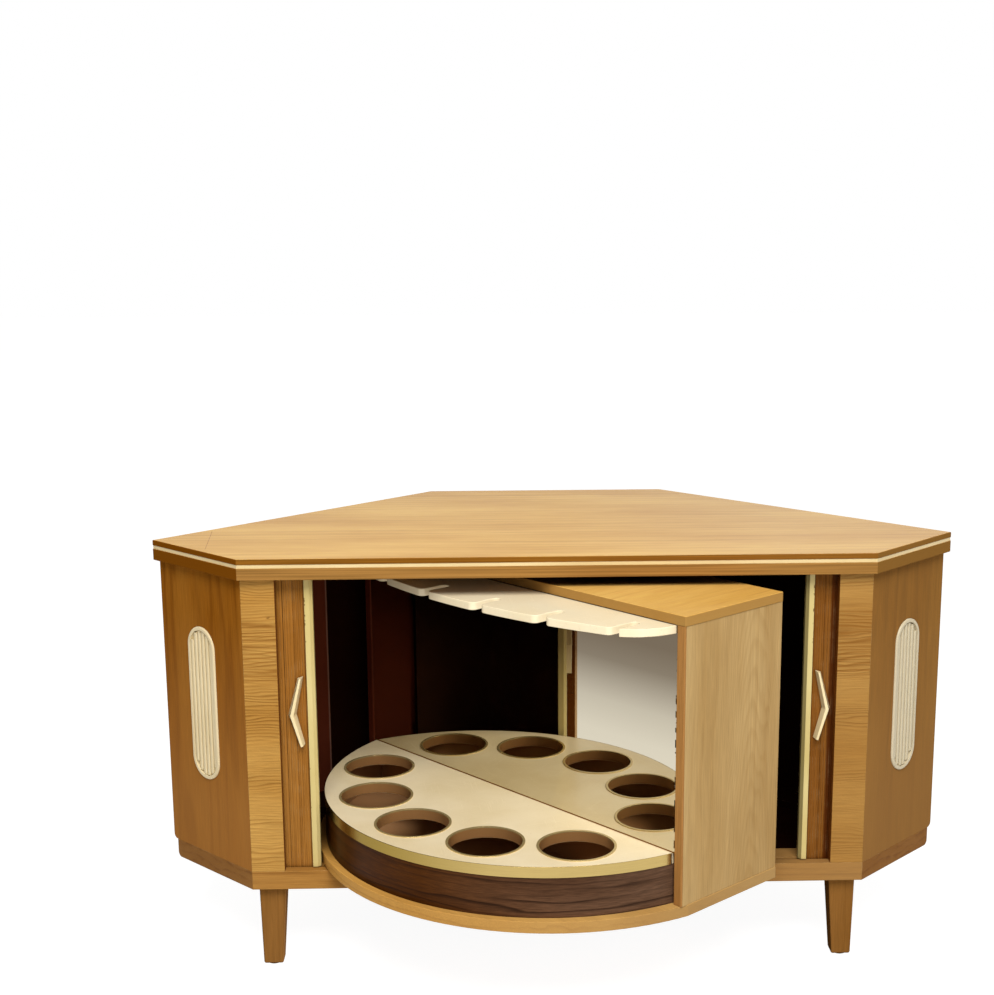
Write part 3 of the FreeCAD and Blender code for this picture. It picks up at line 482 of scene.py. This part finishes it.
def wall_marks(look, colour):
    """Dark inside from stain and painted shade, with painted light on the redder end of the left-hand wall and a
    painted highlight on its joint.
    """
    colour = dark_inside(look, colour, outward=1.0)
    x = look.split(look.here)[X]
    inner = look.below(look.split(look.facing)[Y], -0.3)
    red = look.times(inner, look.below(x, LIT_WALL_END))
    colour = look.mix(red, colour, tone(94, 42, 26))
    joint_highlight = look.times(inner, between(look, x, LIT_WALL_END, LIT_WALL_END + WALL_JOINT, 0.6 * MM))
    return look.mix(joint_highlight, colour, tone(124, 88, 74))


def end_panel_marks(look, colour):
    """The cathedral figure: faint nested arches drawn up the panel."""
    place = in_bar(look)
    _, y, z = look.split(place)
    wave = look.noise(place, (0.3, 0.05, 0.25), detail=2.0)
    off = look.plus(look.minus(y, ARCH_MIDDLE), look.times(look.minus(wave, 0.5), 0.05))
    arch = look.plus(z, look.times(look.times(off, off), ARCH_STEEPNESS))
    phase = look.calc("FRACT", look.plus(look.divided(arch, ARCH_PITCH), look.times(wave, 2.5)))
    figure = look.times(look.curve(phase, *BROAD_BAND), between(look, y, *ARCH_REACH, 0.05))
    return look.mix(look.times(figure, 0.17), colour, tone(136, 98, 46))


def lipping_marks(look, colour):
    """Painted shadow: the left-hand lipping is dark, where it stands in shade."""
    x = look.split(in_bar(look))[X]
    return look.mix(look.below(x, 0.0), colour, tone(84, 34, 18))


def base_marks(look, colour):
    """Greyer to the right from painted light, painted shade behind the doors, and browner where the bottle holes
    show it.
    """
    colour = painted_light_on_right(look, colour, 0.5, tone(180, 156, 108), RIGHT_LIGHT_BASE_STARTS)
    colour = deep_inside(look, colour, tone(46, 22, 8))
    return look.mix(inside_drum(look), colour, WELL_BROWN)


def drum_marks(look, colour):
    """Painted shade: darker and redder towards the left, and darker behind the doors; brown on its inner face."""
    left = look.rise(look.split(look.here)[X], *DRUM_LEFT_SHADE)
    colour = look.mix(left, colour, tone(190, 146, 64), "MULTIPLY")
    colour = deep_inside(look, colour, tone(20, 8, 2))
    return look.mix(inside_drum(look), colour, WELL_BROWN)


def inner_marks(look, colour):
    """The front of the mirror's backing is bare brown board below the shelf."""
    z = look.split(look.here)[Z]
    low = between(look, z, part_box("base_board")[1].z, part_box("bar_shelf")[0].z, 0.5 * MM)
    ahead = Matrix.Rotation(TURN_OUT, 3, "Z") @ Vector((0, -1, 0))
    front = look.above(look.agreement(look.facing, ahead), 0.5)
    return look.mix(look.times(low, front), colour, WELL_BROWN)


def darker_sides(look, colour):
    """The browner band round the edge of the bar's top, and the shade under the cabinet's top."""
    side = look.below(look.split(look.facing)[Z], 0.5)
    colour = look.mix(look.times(side, 0.9), colour, tone(160, 121, 64))
    return shadow(look, colour, TOP_SHADE, tone(40, 20, 8), 0.95, full=0.3, none=0.5)


def dark_inside(look, colour, outward=-1.0):
    """The brown stain and painted shade on the faces that look into the cabinet.

    outward is the Y sign of the outer face. Where the outer face is the front, the faces that look away
    to a side and those of the back rails keep their finish."""
    sideways, ahead, _ = look.split(look.facing)
    inner = look.above(look.times(ahead, -outward), 0.3)
    if outward < 0:
        x, y, _ = look.split(look.here)
        away = look.above(look.times(sideways, look.calc("SIGN", x)), 0.5)
        outer = look.larger(away, look.above(y, BACK_RAIL_FROM))
        inner = look.times(inner, look.minus(1.0, outer))
    return look.mix(inner, colour, INNER_STAIN_AND_SHADE)


def drum_arc(look):
    """Coordinates that follow the round wall of the drum."""
    centre = PIVOT + Matrix.Rotation(TURN_OUT, 3, "Z") @ Vector((0, -SHELF_ARC_OFFSET, 0))
    return look.round_the_arc((centre.x, centre.y, 0), DRUM_FIGURE_RADIUS)


def woods():
    """One wood for each slot of veneer or solid timber."""
    return {
        "top_veneer": wood("top_veneer", tone(150, 94, 28), tone(204, 155, 76), tone(224, 180, 98), X, Y,
                           pitch=22 * MM, warp=2.4, figure=(0.9, 0.05), lines=0.35, gloss=(0.2, 0.3),
                           shine=TOP_SHINE, depth=0.03 * MM, end_grain=0.0, worn=0.12, marks=top_marks),
        "case_veneer": wood("case_veneer", tone(104, 54, 8), tone(138, 83, 20), tone(155, 101, 35), Z, X,
                            pitch=26 * MM, warp=3.4, figure=(0.5, 0.05), lines=0.45, grain=0.45,
                            patches=(0.5, 0.08), shine=0.0, profile=BROAD_BAND, marks=case_marks),
        "plinth_veneer": wood("plinth_veneer", tone(96, 52, 14), tone(148, 102, 44), tone(166, 120, 60),
                              X, Z, pitch=12 * MM, lines=0.5, patches=(0.12, 0.012), end_grain=0.9,
                              shine=0.03, worn=0.35, marks=plinth_marks),
        "pilaster_veneer": wood("pilaster_veneer", tone(120, 76, 24), tone(170, 124, 58), tone(190, 147, 78),
                                X, Z, pitch=5.2 * MM, warp=6.0, figure=(0.12, 0.03), lines=0.64,
                                patches=(1.5, 0.035), grain=0.42, depth=0.3 * MM, end_grain=0.2,
                                shine=0.03, profile=BROAD_BAND, marks=pilaster_marks),
        "tambour_wood": wood("tambour_wood", tone(80, 38, 8), tone(144, 92, 32), tone(168, 116, 52), Z, X,
                             pitch=3.0 * MM, warp=2.0, figure=(0.5, 0.02), lines=0.42, patches=(1.0, 0.008),
                             depth=0.3 * MM, shine=0.03, marks=tambour_marks),
        "leg_wood": wood("leg_wood", tone(84, 48, 12), tone(120, 80, 34), tone(138, 96, 48), Z, X,
                         pitch=9 * MM, lines=0.25, grain=0.25, shine=0.0, marks=leg_marks),
        "back_board": wood("back_board", tone(50, 24, 10), tone(84, 46, 22), tone(98, 56, 28), Z, X,
                           pitch=30 * MM, lines=0.25, gloss=(0.5, 0.65), shine=0.0, marks=wall_marks),
        "inner_wood": wood("inner_wood", tone(14, 4, 1), tone(26, 8, 3), tone(34, 12, 5), X, Y,
                           pitch=20 * MM, lines=0.3, gloss=(0.5, 0.65), shine=0.0, marks=inner_marks),
        "base_veneer": wood("base_veneer", tone(128, 80, 30), tone(184, 134, 62), tone(200, 152, 78), X, Z,
                            turn=TURN_OUT, pitch=14 * MM, lines=0.3, marks=base_marks),
        "drum_walnut": wood("drum_walnut", tone(28, 14, 6), tone(70, 46, 30), tone(106, 80, 62), X, Z,
                            where=drum_arc, pitch=17 * MM, warp=4.0, figure=(0.3, 0.025), lines=0.8,
                            patches=(0.35, 0.022), fibre=(0.02, 1.2 * MM), grain=0.6, end_grain=0.0,
                            gloss=(0.3, 0.42), shine=0.04, marks=drum_marks),
        "unit_panel_veneer": wood("unit_panel_veneer", tone(136, 98, 46), tone(168, 136, 86),
                                  tone(186, 156, 106), Z, Y, turn=TURN_OUT, pitch=24 * MM, warp=3.5,
                                  figure=(0.45, 0.05), lines=0.3, grain=0.3, gloss=(0.35, 0.5), shine=0.04,
                                  marks=end_panel_marks),
        "lipping_wood": wood("lipping_wood", tone(106, 64, 26), tone(148, 103, 51), tone(165, 118, 64), Z, X,
                             turn=TURN_OUT, pitch=7 * MM, lines=0.3, marks=lipping_marks),
        "unit_top_veneer": wood("unit_top_veneer", tone(150, 94, 34), tone(202, 155, 76), tone(218, 174, 96),
                                Y, X, turn=TURN_OUT, pitch=30 * MM, lines=0.25, end_grain=0.0, shine=0.03,
                                marks=darker_sides),
    }


# Plastics, laminates and metals

PLASTIC_SHINE = 0.2
LAMINATE_GLOSS = (0.18, 0.32)


def strip_chips(look, colour):
    """Small chips on the outer edges of the doors' cream strips, and painted shade in olive on their left sides.
    """
    x, _, z = look.split(look.here)
    leftward = look.below(look.split(look.facing)[X], -0.5)
    colour = look.mix(look.times(leftward, 0.8), colour, tone(124, 110, 66))
    left = look.below(x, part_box("left_door_edge_strip")[0].x + CHIP_DEPTH)
    right = look.above(x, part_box("right_door_edge_strip")[1].x - CHIP_DEPTH)
    height = look.times(between(look, z, *CHIPPED, 0.02), 0.16)
    chance = look.plus(look.noise(look.here, (0.01, 0.01, 0.004), detail=3.0), height)
    chips = look.times(look.curve(chance, (0.71, 0.0), (0.74, 1.0)), look.larger(left, right))
    return look.mix(chips, colour, tone(112, 88, 46))


def right_oval_painted_shade(look, colour):
    """Painted shade: the right-hand oval is greyer than the left-hand one."""
    return painted_light_on_right(look, colour, 1.0, tone(200, 188, 160))


def plastic(name, colour, aged, grime_and_shade_tone, rough=(0.28, 0.42), crevice=4 * MM, grime_and_shade_weight=0.6, marks=None):
    """Cast plastic that has yellowed unevenly, with grime and painted shade where surfaces meet."""
    look = Look(name, Specular_IOR_Level=PLASTIC_SHINE)
    age = look.noise(look.here, (0.05, 0.05, 0.12), detail=3.0)
    shade = look.mix(look.curve(age, (0.35, 0.0), (0.7, 1.0)), colour, aged)
    if marks:
        shade = marks(look, shade)
    open_air = look.node("AmbientOcclusion", {"Distance": crevice}, samples=4).outputs["AO"]
    grime_and_shade = look.curve(open_air, (0.3, grime_and_shade_weight), (0.8, 0.0))
    look.colour(look.mix(grime_and_shade, shade, grime_and_shade_tone))
    soft = look.edges(1.0 * MM)[1]
    fine = look.noise(look.here, (0.02, 0.02, 0.02), detail=4.0)
    look.roughness(fine, *rough)
    look.relief(fine, 0.1 * MM, soft)
    return look.material


def laminate(name, colour, aged, shine=0.5):
    """Cream melamine board with faint mottling and fine scratches in several directions."""
    look = Look(name, Specular_IOR_Level=shine)
    cloud = look.noise(look.here, (0.09, 0.09, 0.09), detail=3.0)
    speck = look.noise(look.here, (0.0025, 0.0025, 0.0025), detail=1.0)
    shade = look.mix(look.curve(cloud, (0.3, 0.0), (0.75, 1.0)), colour, aged)
    shade = look.mix(look.curve(speck, (0.74, 0.0), (0.78, 0.4)), shade, tone(180, 150, 105))
    scratches = None
    for turn in (0.4, 1.7, 2.6):
        scratch = look.curve(look.noise(look.turned(turn), (0.08, 0.0006, 0.05), detail=1.0),
                             (0.68, 0.0), (0.72, 1.0))
        scratches = scratch if scratches is None else look.larger(scratches, scratch)
    look.colour(look.mix(look.times(scratches, 0.10), shade, tone(170, 140, 100)))
    uneven = look.plus(look.times(cloud, 0.6), look.times(scratches, 0.4))
    look.roughness(uneven, *LAMINATE_GLOSS)
    soft = look.edges(0.8 * MM)[1]
    look.relief(look.minus(cloud, look.times(scratches, 0.3)), 0.02 * MM, soft)
    return look.material


def sleeve(look, colour):
    """Pale rims round the bottle holes, brown linings, and painted shade that dulls the left end of the band."""
    x, _, z = look.split(look.here)
    # Painted shade on the band's left end.
    dull = look.rise(x, *BRASS_LEFT_SHADE)
    colour = look.mix(look.times(dull, 0.9), colour, tone(134, 110, 34))
    within = inside_drum(look, HOLE_MARGIN)
    colour = look.mix(within, colour, tone(208, 184, 128))
    inside = look.times(look.below(z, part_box("bar_shelf")[1].z - HOLE_RIM), within)
    painted = look.larger(look.times(within, 0.35), look.times(inside, 0.85))
    look.put(look.shader.inputs["Metallic"], look.minus(1.0, painted))
    return look.mix(inside, colour, tone(148, 108, 66))


def metal(name, bright, dull, rough, brushed=None, spots=0.15, relief=0.02 * MM, sleeves=False):
    """Metal with brushed lines and duller, rougher spots of age."""
    look = Look(name, Metallic=1.0)
    place = look.here if brushed is None else brushed(look)
    brush = look.noise(place, (0.06, 0.0008, 0.0008), detail=2.0)
    stain = look.curve(look.noise(look.here, (0.018, 0.018, 0.018), detail=5.0, rough=0.65),
                       (0.4, 0.0), (0.9, 1.0))
    shade = look.mix(look.times(stain, spots), bright, dull)
    shade = look.mix(0.2, shade, look.curve(brush, (0.3, 0.35), (0.7, 0.65)), "OVERLAY")
    look.colour(sleeve(look, shade) if sleeves else shade)
    look.roughness(look.plus(look.times(brush, 0.5), look.times(stain, 0.5)), *rough)
    look.relief(brush, relief, look.edges(0.4 * MM)[1])
    return look.material


def mirror_glass():
    """Silvered glass: browner towards its top as a painted reflection of a dark room, dark dashes and specks at
    its right edge, a brown foot.
    """
    look = Look("mirror", Metallic=1.0)
    x, _, z = look.split(in_bar(look))
    side = look.minus(MIRROR_HALF, x)
    speck = look.noise(look.here, (0.003, 0.003, 0.006), detail=3.0, rough=0.7)
    gone = look.curve(look.minus(speck, look.times(side, 60.0)), (0.52, 0.0), (0.56, 1.0))
    tick = look.noise(look.here, (1.0, 1.0, DASH_PITCH), detail=1.0)
    dash = look.times(look.curve(tick, (0.56, 0.0), (0.58, 1.0)), look.below(side, DASH_DEPTH))
    dash = look.times(dash, look.below(z, DASHES_BELOW))
    gone = look.larger(gone, dash)
    height = look.rise(z, *MIRROR_DARK_REFLECTION)
    dark_reflection = look.curve(height, (0.0, 0.0), (0.4, 0.12), (0.6, 0.35), (0.85, 0.9), (1.0, 1.0))
    # The aged tint's browning towards the top is a painted reflection.
    aged = look.mix(dark_reflection, tone(208, 201, 182), tone(112, 100, 84))
    shade = look.mix(gone, aged, tone(30, 22, 16))
    foot = look.below(z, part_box("bar_shelf")[1].z + FOOT_LINE)
    look.colour(look.mix(foot, shade, tone(128, 90, 40)))
    look.roughness(look.larger(gone, foot), 0.015, 0.5)
    return look.material


def woven_canvas():
    """Dark brown canvas with a plain weave, glued behind the slats."""
    look = Look("tambour_canvas", Specular_IOR_Level=0.1)
    x, y, z = look.split(look.here)
    over = look.calc("SINE", look.divided(look.plus(x, y), WEAVE / math.pi))
    under = look.calc("SINE", look.divided(z, WEAVE / math.pi))
    threads = look.calc("ABSOLUTE", look.times(over, under))
    age = look.noise(look.here, (0.06, 0.06, 0.06), detail=4.0)
    look.colour(look.mix(look.times(threads, age), tone(46, 24, 12), tone(84, 48, 26)))
    look.roughness(threads, 0.75, 0.95)
    look.relief(threads, 0.2 * MM)
    return look.material


def finishes():
    """Everything that isn't wood."""
    return {
        "stripe_laminate": laminate("stripe_laminate", tone(222, 200, 150), tone(206, 182, 128)),
        "oval_plastic": plastic("oval_plastic", tone(226, 210, 172), tone(216, 198, 156), tone(140, 124, 92),
                                crevice=3 * MM, grime_and_shade_weight=0.25, marks=right_oval_painted_shade),
        "edge_plastic": plastic("edge_plastic", tone(209, 192, 133), tone(196, 176, 111), tone(90, 76, 34),
                                marks=strip_chips),
        "handle_plastic": plastic("handle_plastic", tone(236, 220, 178), tone(224, 204, 156),
                                  tone(104, 80, 46), crevice=2.5 * MM),
        "glide_plastic": plastic("glide_plastic", tone(22, 20, 20), tone(34, 32, 30), tone(60, 56, 52),
                                 rough=(0.45, 0.6)),
        "cage_plastic": plastic("cage_plastic", tone(70, 68, 64), tone(90, 86, 78), tone(30, 28, 26)),
        "shelf_laminate": laminate("shelf_laminate", tone(234, 219, 186), tone(222, 204, 164)),
        "rack_laminate": laminate("rack_laminate", tone(240, 228, 198), tone(234, 218, 182), shine=0.12),
        "brass": metal("brass", tone(186, 162, 102), tone(154, 128, 74), (0.2, 0.3), brushed=drum_arc,
                       spots=0.08, relief=0.006 * MM, sleeves=True),
        "steel": metal("steel", tone(196, 196, 194), tone(130, 126, 120), (0.22, 0.4)),
        "bronze": metal("bronze", tone(176, 128, 78), tone(110, 76, 44), (0.3, 0.5)),
        "mirror": mirror_glass(),
    }


def dress():
    """Gives each piece of the cabinet the finish of its slot."""
    looks = {**woods(), **finishes()}
    for part in frame["record"]["subparts"]:
        mesh = frame["nodes"][part["node"]].data
        mesh.materials.clear()
        mesh.materials.append(looks[part["material_slot"]])
    return looks


# Tambour curtains, drawn on the right-hand side

def crossing(first, second):
    """Where two lines a*x + b*y = c meet."""
    a, b, c = first
    d, e, f = second
    whole = a * e - b * d
    return Vector(((c * e - b * f) / whole, (a * f - c * d) / whole))


def curtain_pieces(start_x):
    """The canvas line as straight and bent stretches: start, heading, length and radius."""
    front = (0.0, 1.0, SLAB_LOW.y + CANVAS_FROM_FRONT)
    corner = SLAB_HIGH.x - SIDE_EDGE_RUN
    side = (1.0, -1.0, corner - SLAB_LOW.y - CANVAS_FROM_SIDE * math.sqrt(2))
    wall = (1.0, 1.0, SLAB_HIGH.x + SLAB_LOW.y + SIDE_EDGE_RUN - CANVAS_FROM_WALL * math.sqrt(2))
    place = Vector((start_x, front[2]))
    heading = 0.0
    pieces = []
    stations = [(crossing(front, side), math.pi / 4, FRONT_BEND_RADIUS),
                (crossing(side, wall), math.pi / 2, OUTER_BEND_RADIUS)]
    for point, angle, radius in stations:
        run = (point - place).length - radius * math.tan(angle / 2)
        pieces.append((place, heading, run, None))
        place = place + Vector((math.cos(heading), math.sin(heading))) * run
        pieces.append((place, heading, radius * angle, radius))
        centre = place + Vector((-math.sin(heading), math.cos(heading))) * radius
        heading = heading + angle
        place = centre + Vector((math.sin(heading), -math.cos(heading))) * radius
    pieces.append((place, heading, SLAT_COUNT * SLAT_PITCH, None))
    return pieces


def on_curtain(pieces, distance):
    """The point of the canvas line at a distance from its start, and the heading there."""
    for place, heading, length, radius in pieces:
        if distance <= length:
            break
        distance = distance - length
    if radius is None:
        return place + Vector((math.cos(heading), math.sin(heading))) * distance, heading
    centre = place + Vector((-math.sin(heading), math.cos(heading))) * radius
    heading = heading + distance / radius
    return centre + Vector((math.sin(heading), -math.cos(heading))) * radius, heading


def slat_outline():
    """Section of a slat: flat back on the canvas, rounded front corners and four reeds between vees."""
    half = SLAT_WIDTH / 2
    points = [Vector((-half, 0)), Vector((half, 0))]
    for sign in (1, -1):
        centre = Vector((sign * (half - SLAT_ROUND), -SLAT_THICKNESS + SLAT_ROUND))
        corner = []
        for step in range(ARC_STEPS + 1):
            angle = math.pi / 2 * step / ARC_STEPS
            corner.append(centre + Vector((sign * math.cos(angle), -math.sin(angle))) * SLAT_ROUND)
        points.extend(corner if sign > 0 else corner[::-1])
        if sign > 0:
            reed = SLAT_WIDTH / REEDS_PER_SLAT
            for number in range(REEDS_PER_SLAT - 1, 0, -1):
                x = -half + number * reed
                points.extend([Vector((x + REED_DEPTH, -SLAT_THICKNESS)),
                               Vector((x, -SLAT_THICKNESS + REED_DEPTH)),
                               Vector((x - REED_DEPTH, -SLAT_THICKNESS))])
    return points


def upright_prism(mesh, outline, low, high):
    """A closed upright prism over an outline that runs anticlockwise."""
    rings = [[mesh.verts.new((p.x, p.y, z)) for p in outline] for z in (low, high)]
    mesh.faces.new(rings[0][::-1])
    mesh.faces.new(rings[1])
    for number in range(len(outline)):
        after = (number + 1) % len(outline)
        mesh.faces.new([rings[0][number], rings[0][after], rings[1][after], rings[1][number]])


def canvas_outline(pieces, start, end):
    """The canvas as a thin band along its line, in short steps."""
    count = int((end - start) / CANVAS_STEP)
    near, far = [], []
    for number in range(count + 1):
        point, heading = on_curtain(pieces, start + (end - start) * number / count)
        side = Vector((math.sin(heading), -math.cos(heading)))
        near.append(point)
        far.append(point - side * CANVAS_THICKNESS)
    return near + far[::-1]


def slats_mesh(pieces, low, high):
    """The slats as upright prisms, each square to the line of the canvas."""
    mesh = bmesh.new()
    outline = slat_outline()
    for number in range(SLAT_COUNT):
        place, heading = on_curtain(pieces, (number + 0.5) * SLAT_PITCH)
        turn = Matrix.Rotation(heading, 2)
        upright_prism(mesh, [turn @ p + place for p in outline], low, high)
    return mesh


def canvas_mesh(pieces, low, high):
    """The canvas behind the slats, a little lower than they are at the top and bottom."""
    mesh = bmesh.new()
    outline = canvas_outline(pieces, CANVAS_START, SLAT_COUNT * SLAT_PITCH)
    upright_prism(mesh, outline, low + CANVAS_MARGIN, high - CANVAS_MARGIN)
    return mesh


def add_piece(name, mesh, material, mirrored):
    """An object from a mesh that is drawn on the right-hand side, mirrored for the left."""
    if mirrored:
        bmesh.ops.scale(mesh, vec=(-1, 1, 1), verts=mesh.verts)
    bmesh.ops.recalc_face_normals(mesh, faces=mesh.faces)
    data = bpy.data.meshes.new(name)
    mesh.to_mesh(data)
    mesh.free()
    data.materials.append(material)
    piece = bpy.data.objects.new(name, data)
    bpy.context.scene.collection.objects.link(piece)
    return piece


def make_curtain(hand, sign, wood_look, canvas_look):
    """Slats and canvas that leave the door beside its stile and bend round the corner."""
    node = hand + "_tambour_curtain"
    low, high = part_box(node)
    stile_edge = abs(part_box(hand + "_door_stile")[0 if sign < 0 else 1].x)
    pieces = curtain_pieces(stile_edge)
    for name, mesh, material in (("_tambour_slats", slats_mesh(pieces, low.z, high.z), wood_look),
                                 ("_tambour_canvas", canvas_mesh(pieces, low.z, high.z), canvas_look)):
        piece = add_piece(hand + name, mesh, material, sign < 0)
        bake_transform(piece)
        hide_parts(node)


# Room, light and camera

def seen_directly(tree):
    """1 for rays that come straight from the camera, a mirror or glass."""
    path = tree.nodes.new("ShaderNodeLightPath")
    total = path.outputs["Is Camera Ray"]
    for name in ("Is Glossy Ray", "Is Transmission Ray"):
        largest = tree.nodes.new("ShaderNodeMath")
        largest.operation = "MAXIMUM"
        tree.links.new(total, largest.inputs[0])
        tree.links.new(path.outputs[name], largest.inputs[1])
        total = largest.outputs[0]
    return total


def choose(tree, first, second, output):
    """Shows the second shader to the rays that see it directly, and the first to the rest."""
    mixer = tree.nodes.new("ShaderNodeMixShader")
    tree.links.new(seen_directly(tree), mixer.inputs[0])
    tree.links.new(first, mixer.inputs[1])
    tree.links.new(second, mixer.inputs[2])
    tree.links.new(mixer.outputs[0], tree.nodes[output].inputs["Surface"])


def make_world():
    """Soft light from all round, seen as plain white."""
    world = bpy.data.worlds.new("room")
    world.use_nodes = True
    tree = world.node_tree
    soft = tree.nodes["Background"]
    soft.inputs["Color"].default_value = (1.0, 0.98, 0.95, 1.0)
    soft.inputs["Strength"].default_value = WORLD_FILL
    white = tree.nodes.new("ShaderNodeBackground")
    white.inputs["Color"].default_value = (1.0, 1.0, 1.0, 1.0)
    choose(tree, soft.outputs[0], white.outputs[0], "World Output")
    bpy.context.scene.world = world


def make_floor():
    """A pale floor that is seen as white and keeps the shadow of the cabinet."""
    material = bpy.data.materials.new("floor")
    material.use_nodes = True
    tree = material.node_tree
    tree.nodes.remove(tree.nodes["Principled BSDF"])
    matt = tree.nodes.new("ShaderNodeBsdfDiffuse")
    matt.inputs["Color"].default_value = FLOOR_LIT
    shaded = tree.nodes.new("ShaderNodeBsdfDiffuse")
    shaded.inputs["Color"].default_value = FLOOR_SHADED
    shine = tree.nodes.new("ShaderNodeEmission")
    shine.inputs["Strength"].default_value = FLOOR_GLOW
    both = tree.nodes.new("ShaderNodeAddShader")
    tree.links.new(shaded.outputs[0], both.inputs[0])
    tree.links.new(shine.outputs[0], both.inputs[1])
    choose(tree, matt.outputs[0], both.outputs[0], "Material Output")
    data = bpy.data.meshes.new("floor")
    half = FLOOR_SIZE / 2
    corners = [(x * half, y * half, FLOOR_Z) for x, y in ((-1, -1), (1, -1), (1, 1), (-1, 1))]
    data.from_pydata(corners, [], [(0, 1, 2, 3)])
    data.materials.append(material)
    floor = bpy.data.objects.new("floor", data)
    bpy.context.scene.collection.objects.link(floor)


def make_lamp(name, place, width, height, power, colour):
    """A rectangular lamp that looks at the middle of the cabinet."""
    data = bpy.data.lights.new(name, "AREA")
    data.shape = "RECTANGLE"
    data.size = width
    data.size_y = height
    data.energy = power
    data.color = colour
    lamp = bpy.data.objects.new(name, data)
    lamp.location = place
    lamp.rotation_euler = (Vector(LAMPS_AIM) - Vector(place)).to_track_quat("-Z", "Y").to_euler()
    bpy.context.scene.collection.objects.link(lamp)


def make_camera():
    """The photograph's camera, from its solved place and angles and the middle of its picture."""
    ahead = Vector((math.sin(CAMERA_YAW) * math.cos(CAMERA_PITCH),
                    math.cos(CAMERA_YAW) * math.cos(CAMERA_PITCH),
                    -math.sin(CAMERA_PITCH)))
    level = Vector((math.cos(CAMERA_YAW), -math.sin(CAMERA_YAW), 0))
    upward = level.cross(ahead)
    right = math.cos(CAMERA_ROLL) * level + math.sin(CAMERA_ROLL) * upward
    top = math.cos(CAMERA_ROLL) * upward - math.sin(CAMERA_ROLL) * level
    axes = Matrix((right, top, -ahead)).transposed().to_4x4()
    data = bpy.data.cameras.new("camera")
    data.sensor_fit = "HORIZONTAL"
    data.sensor_width = SENSOR_WIDTH_MM
    data.lens = FOCAL_LENGTH_PIXELS / IMAGE_WIDTH * SENSOR_WIDTH_MM
    data.shift_x = -AXIS_RIGHT_OF_MIDDLE_PIXELS / IMAGE_WIDTH
    data.shift_y = AXIS_BELOW_MIDDLE_PIXELS / IMAGE_WIDTH
    camera = bpy.data.objects.new("camera", data)
    camera.matrix_world = Matrix.Translation(CAMERA_PLACE) @ axes
    bpy.context.scene.collection.objects.link(camera)
    bpy.context.scene.camera = camera


looks = dress()
tambour_canvas = woven_canvas()
for side_name, side_sign in (("left", -1), ("right", 1)):
    make_curtain(side_name, side_sign, looks["tambour_wood"], tambour_canvas)
make_world()
make_floor()
for lamp_name, lamp_values in LAMPS.items():
    make_lamp(lamp_name, *lamp_values)
make_camera()
bpy.context.scene.view_settings.view_transform = "Standard"

bpy.context.view_layer.update()
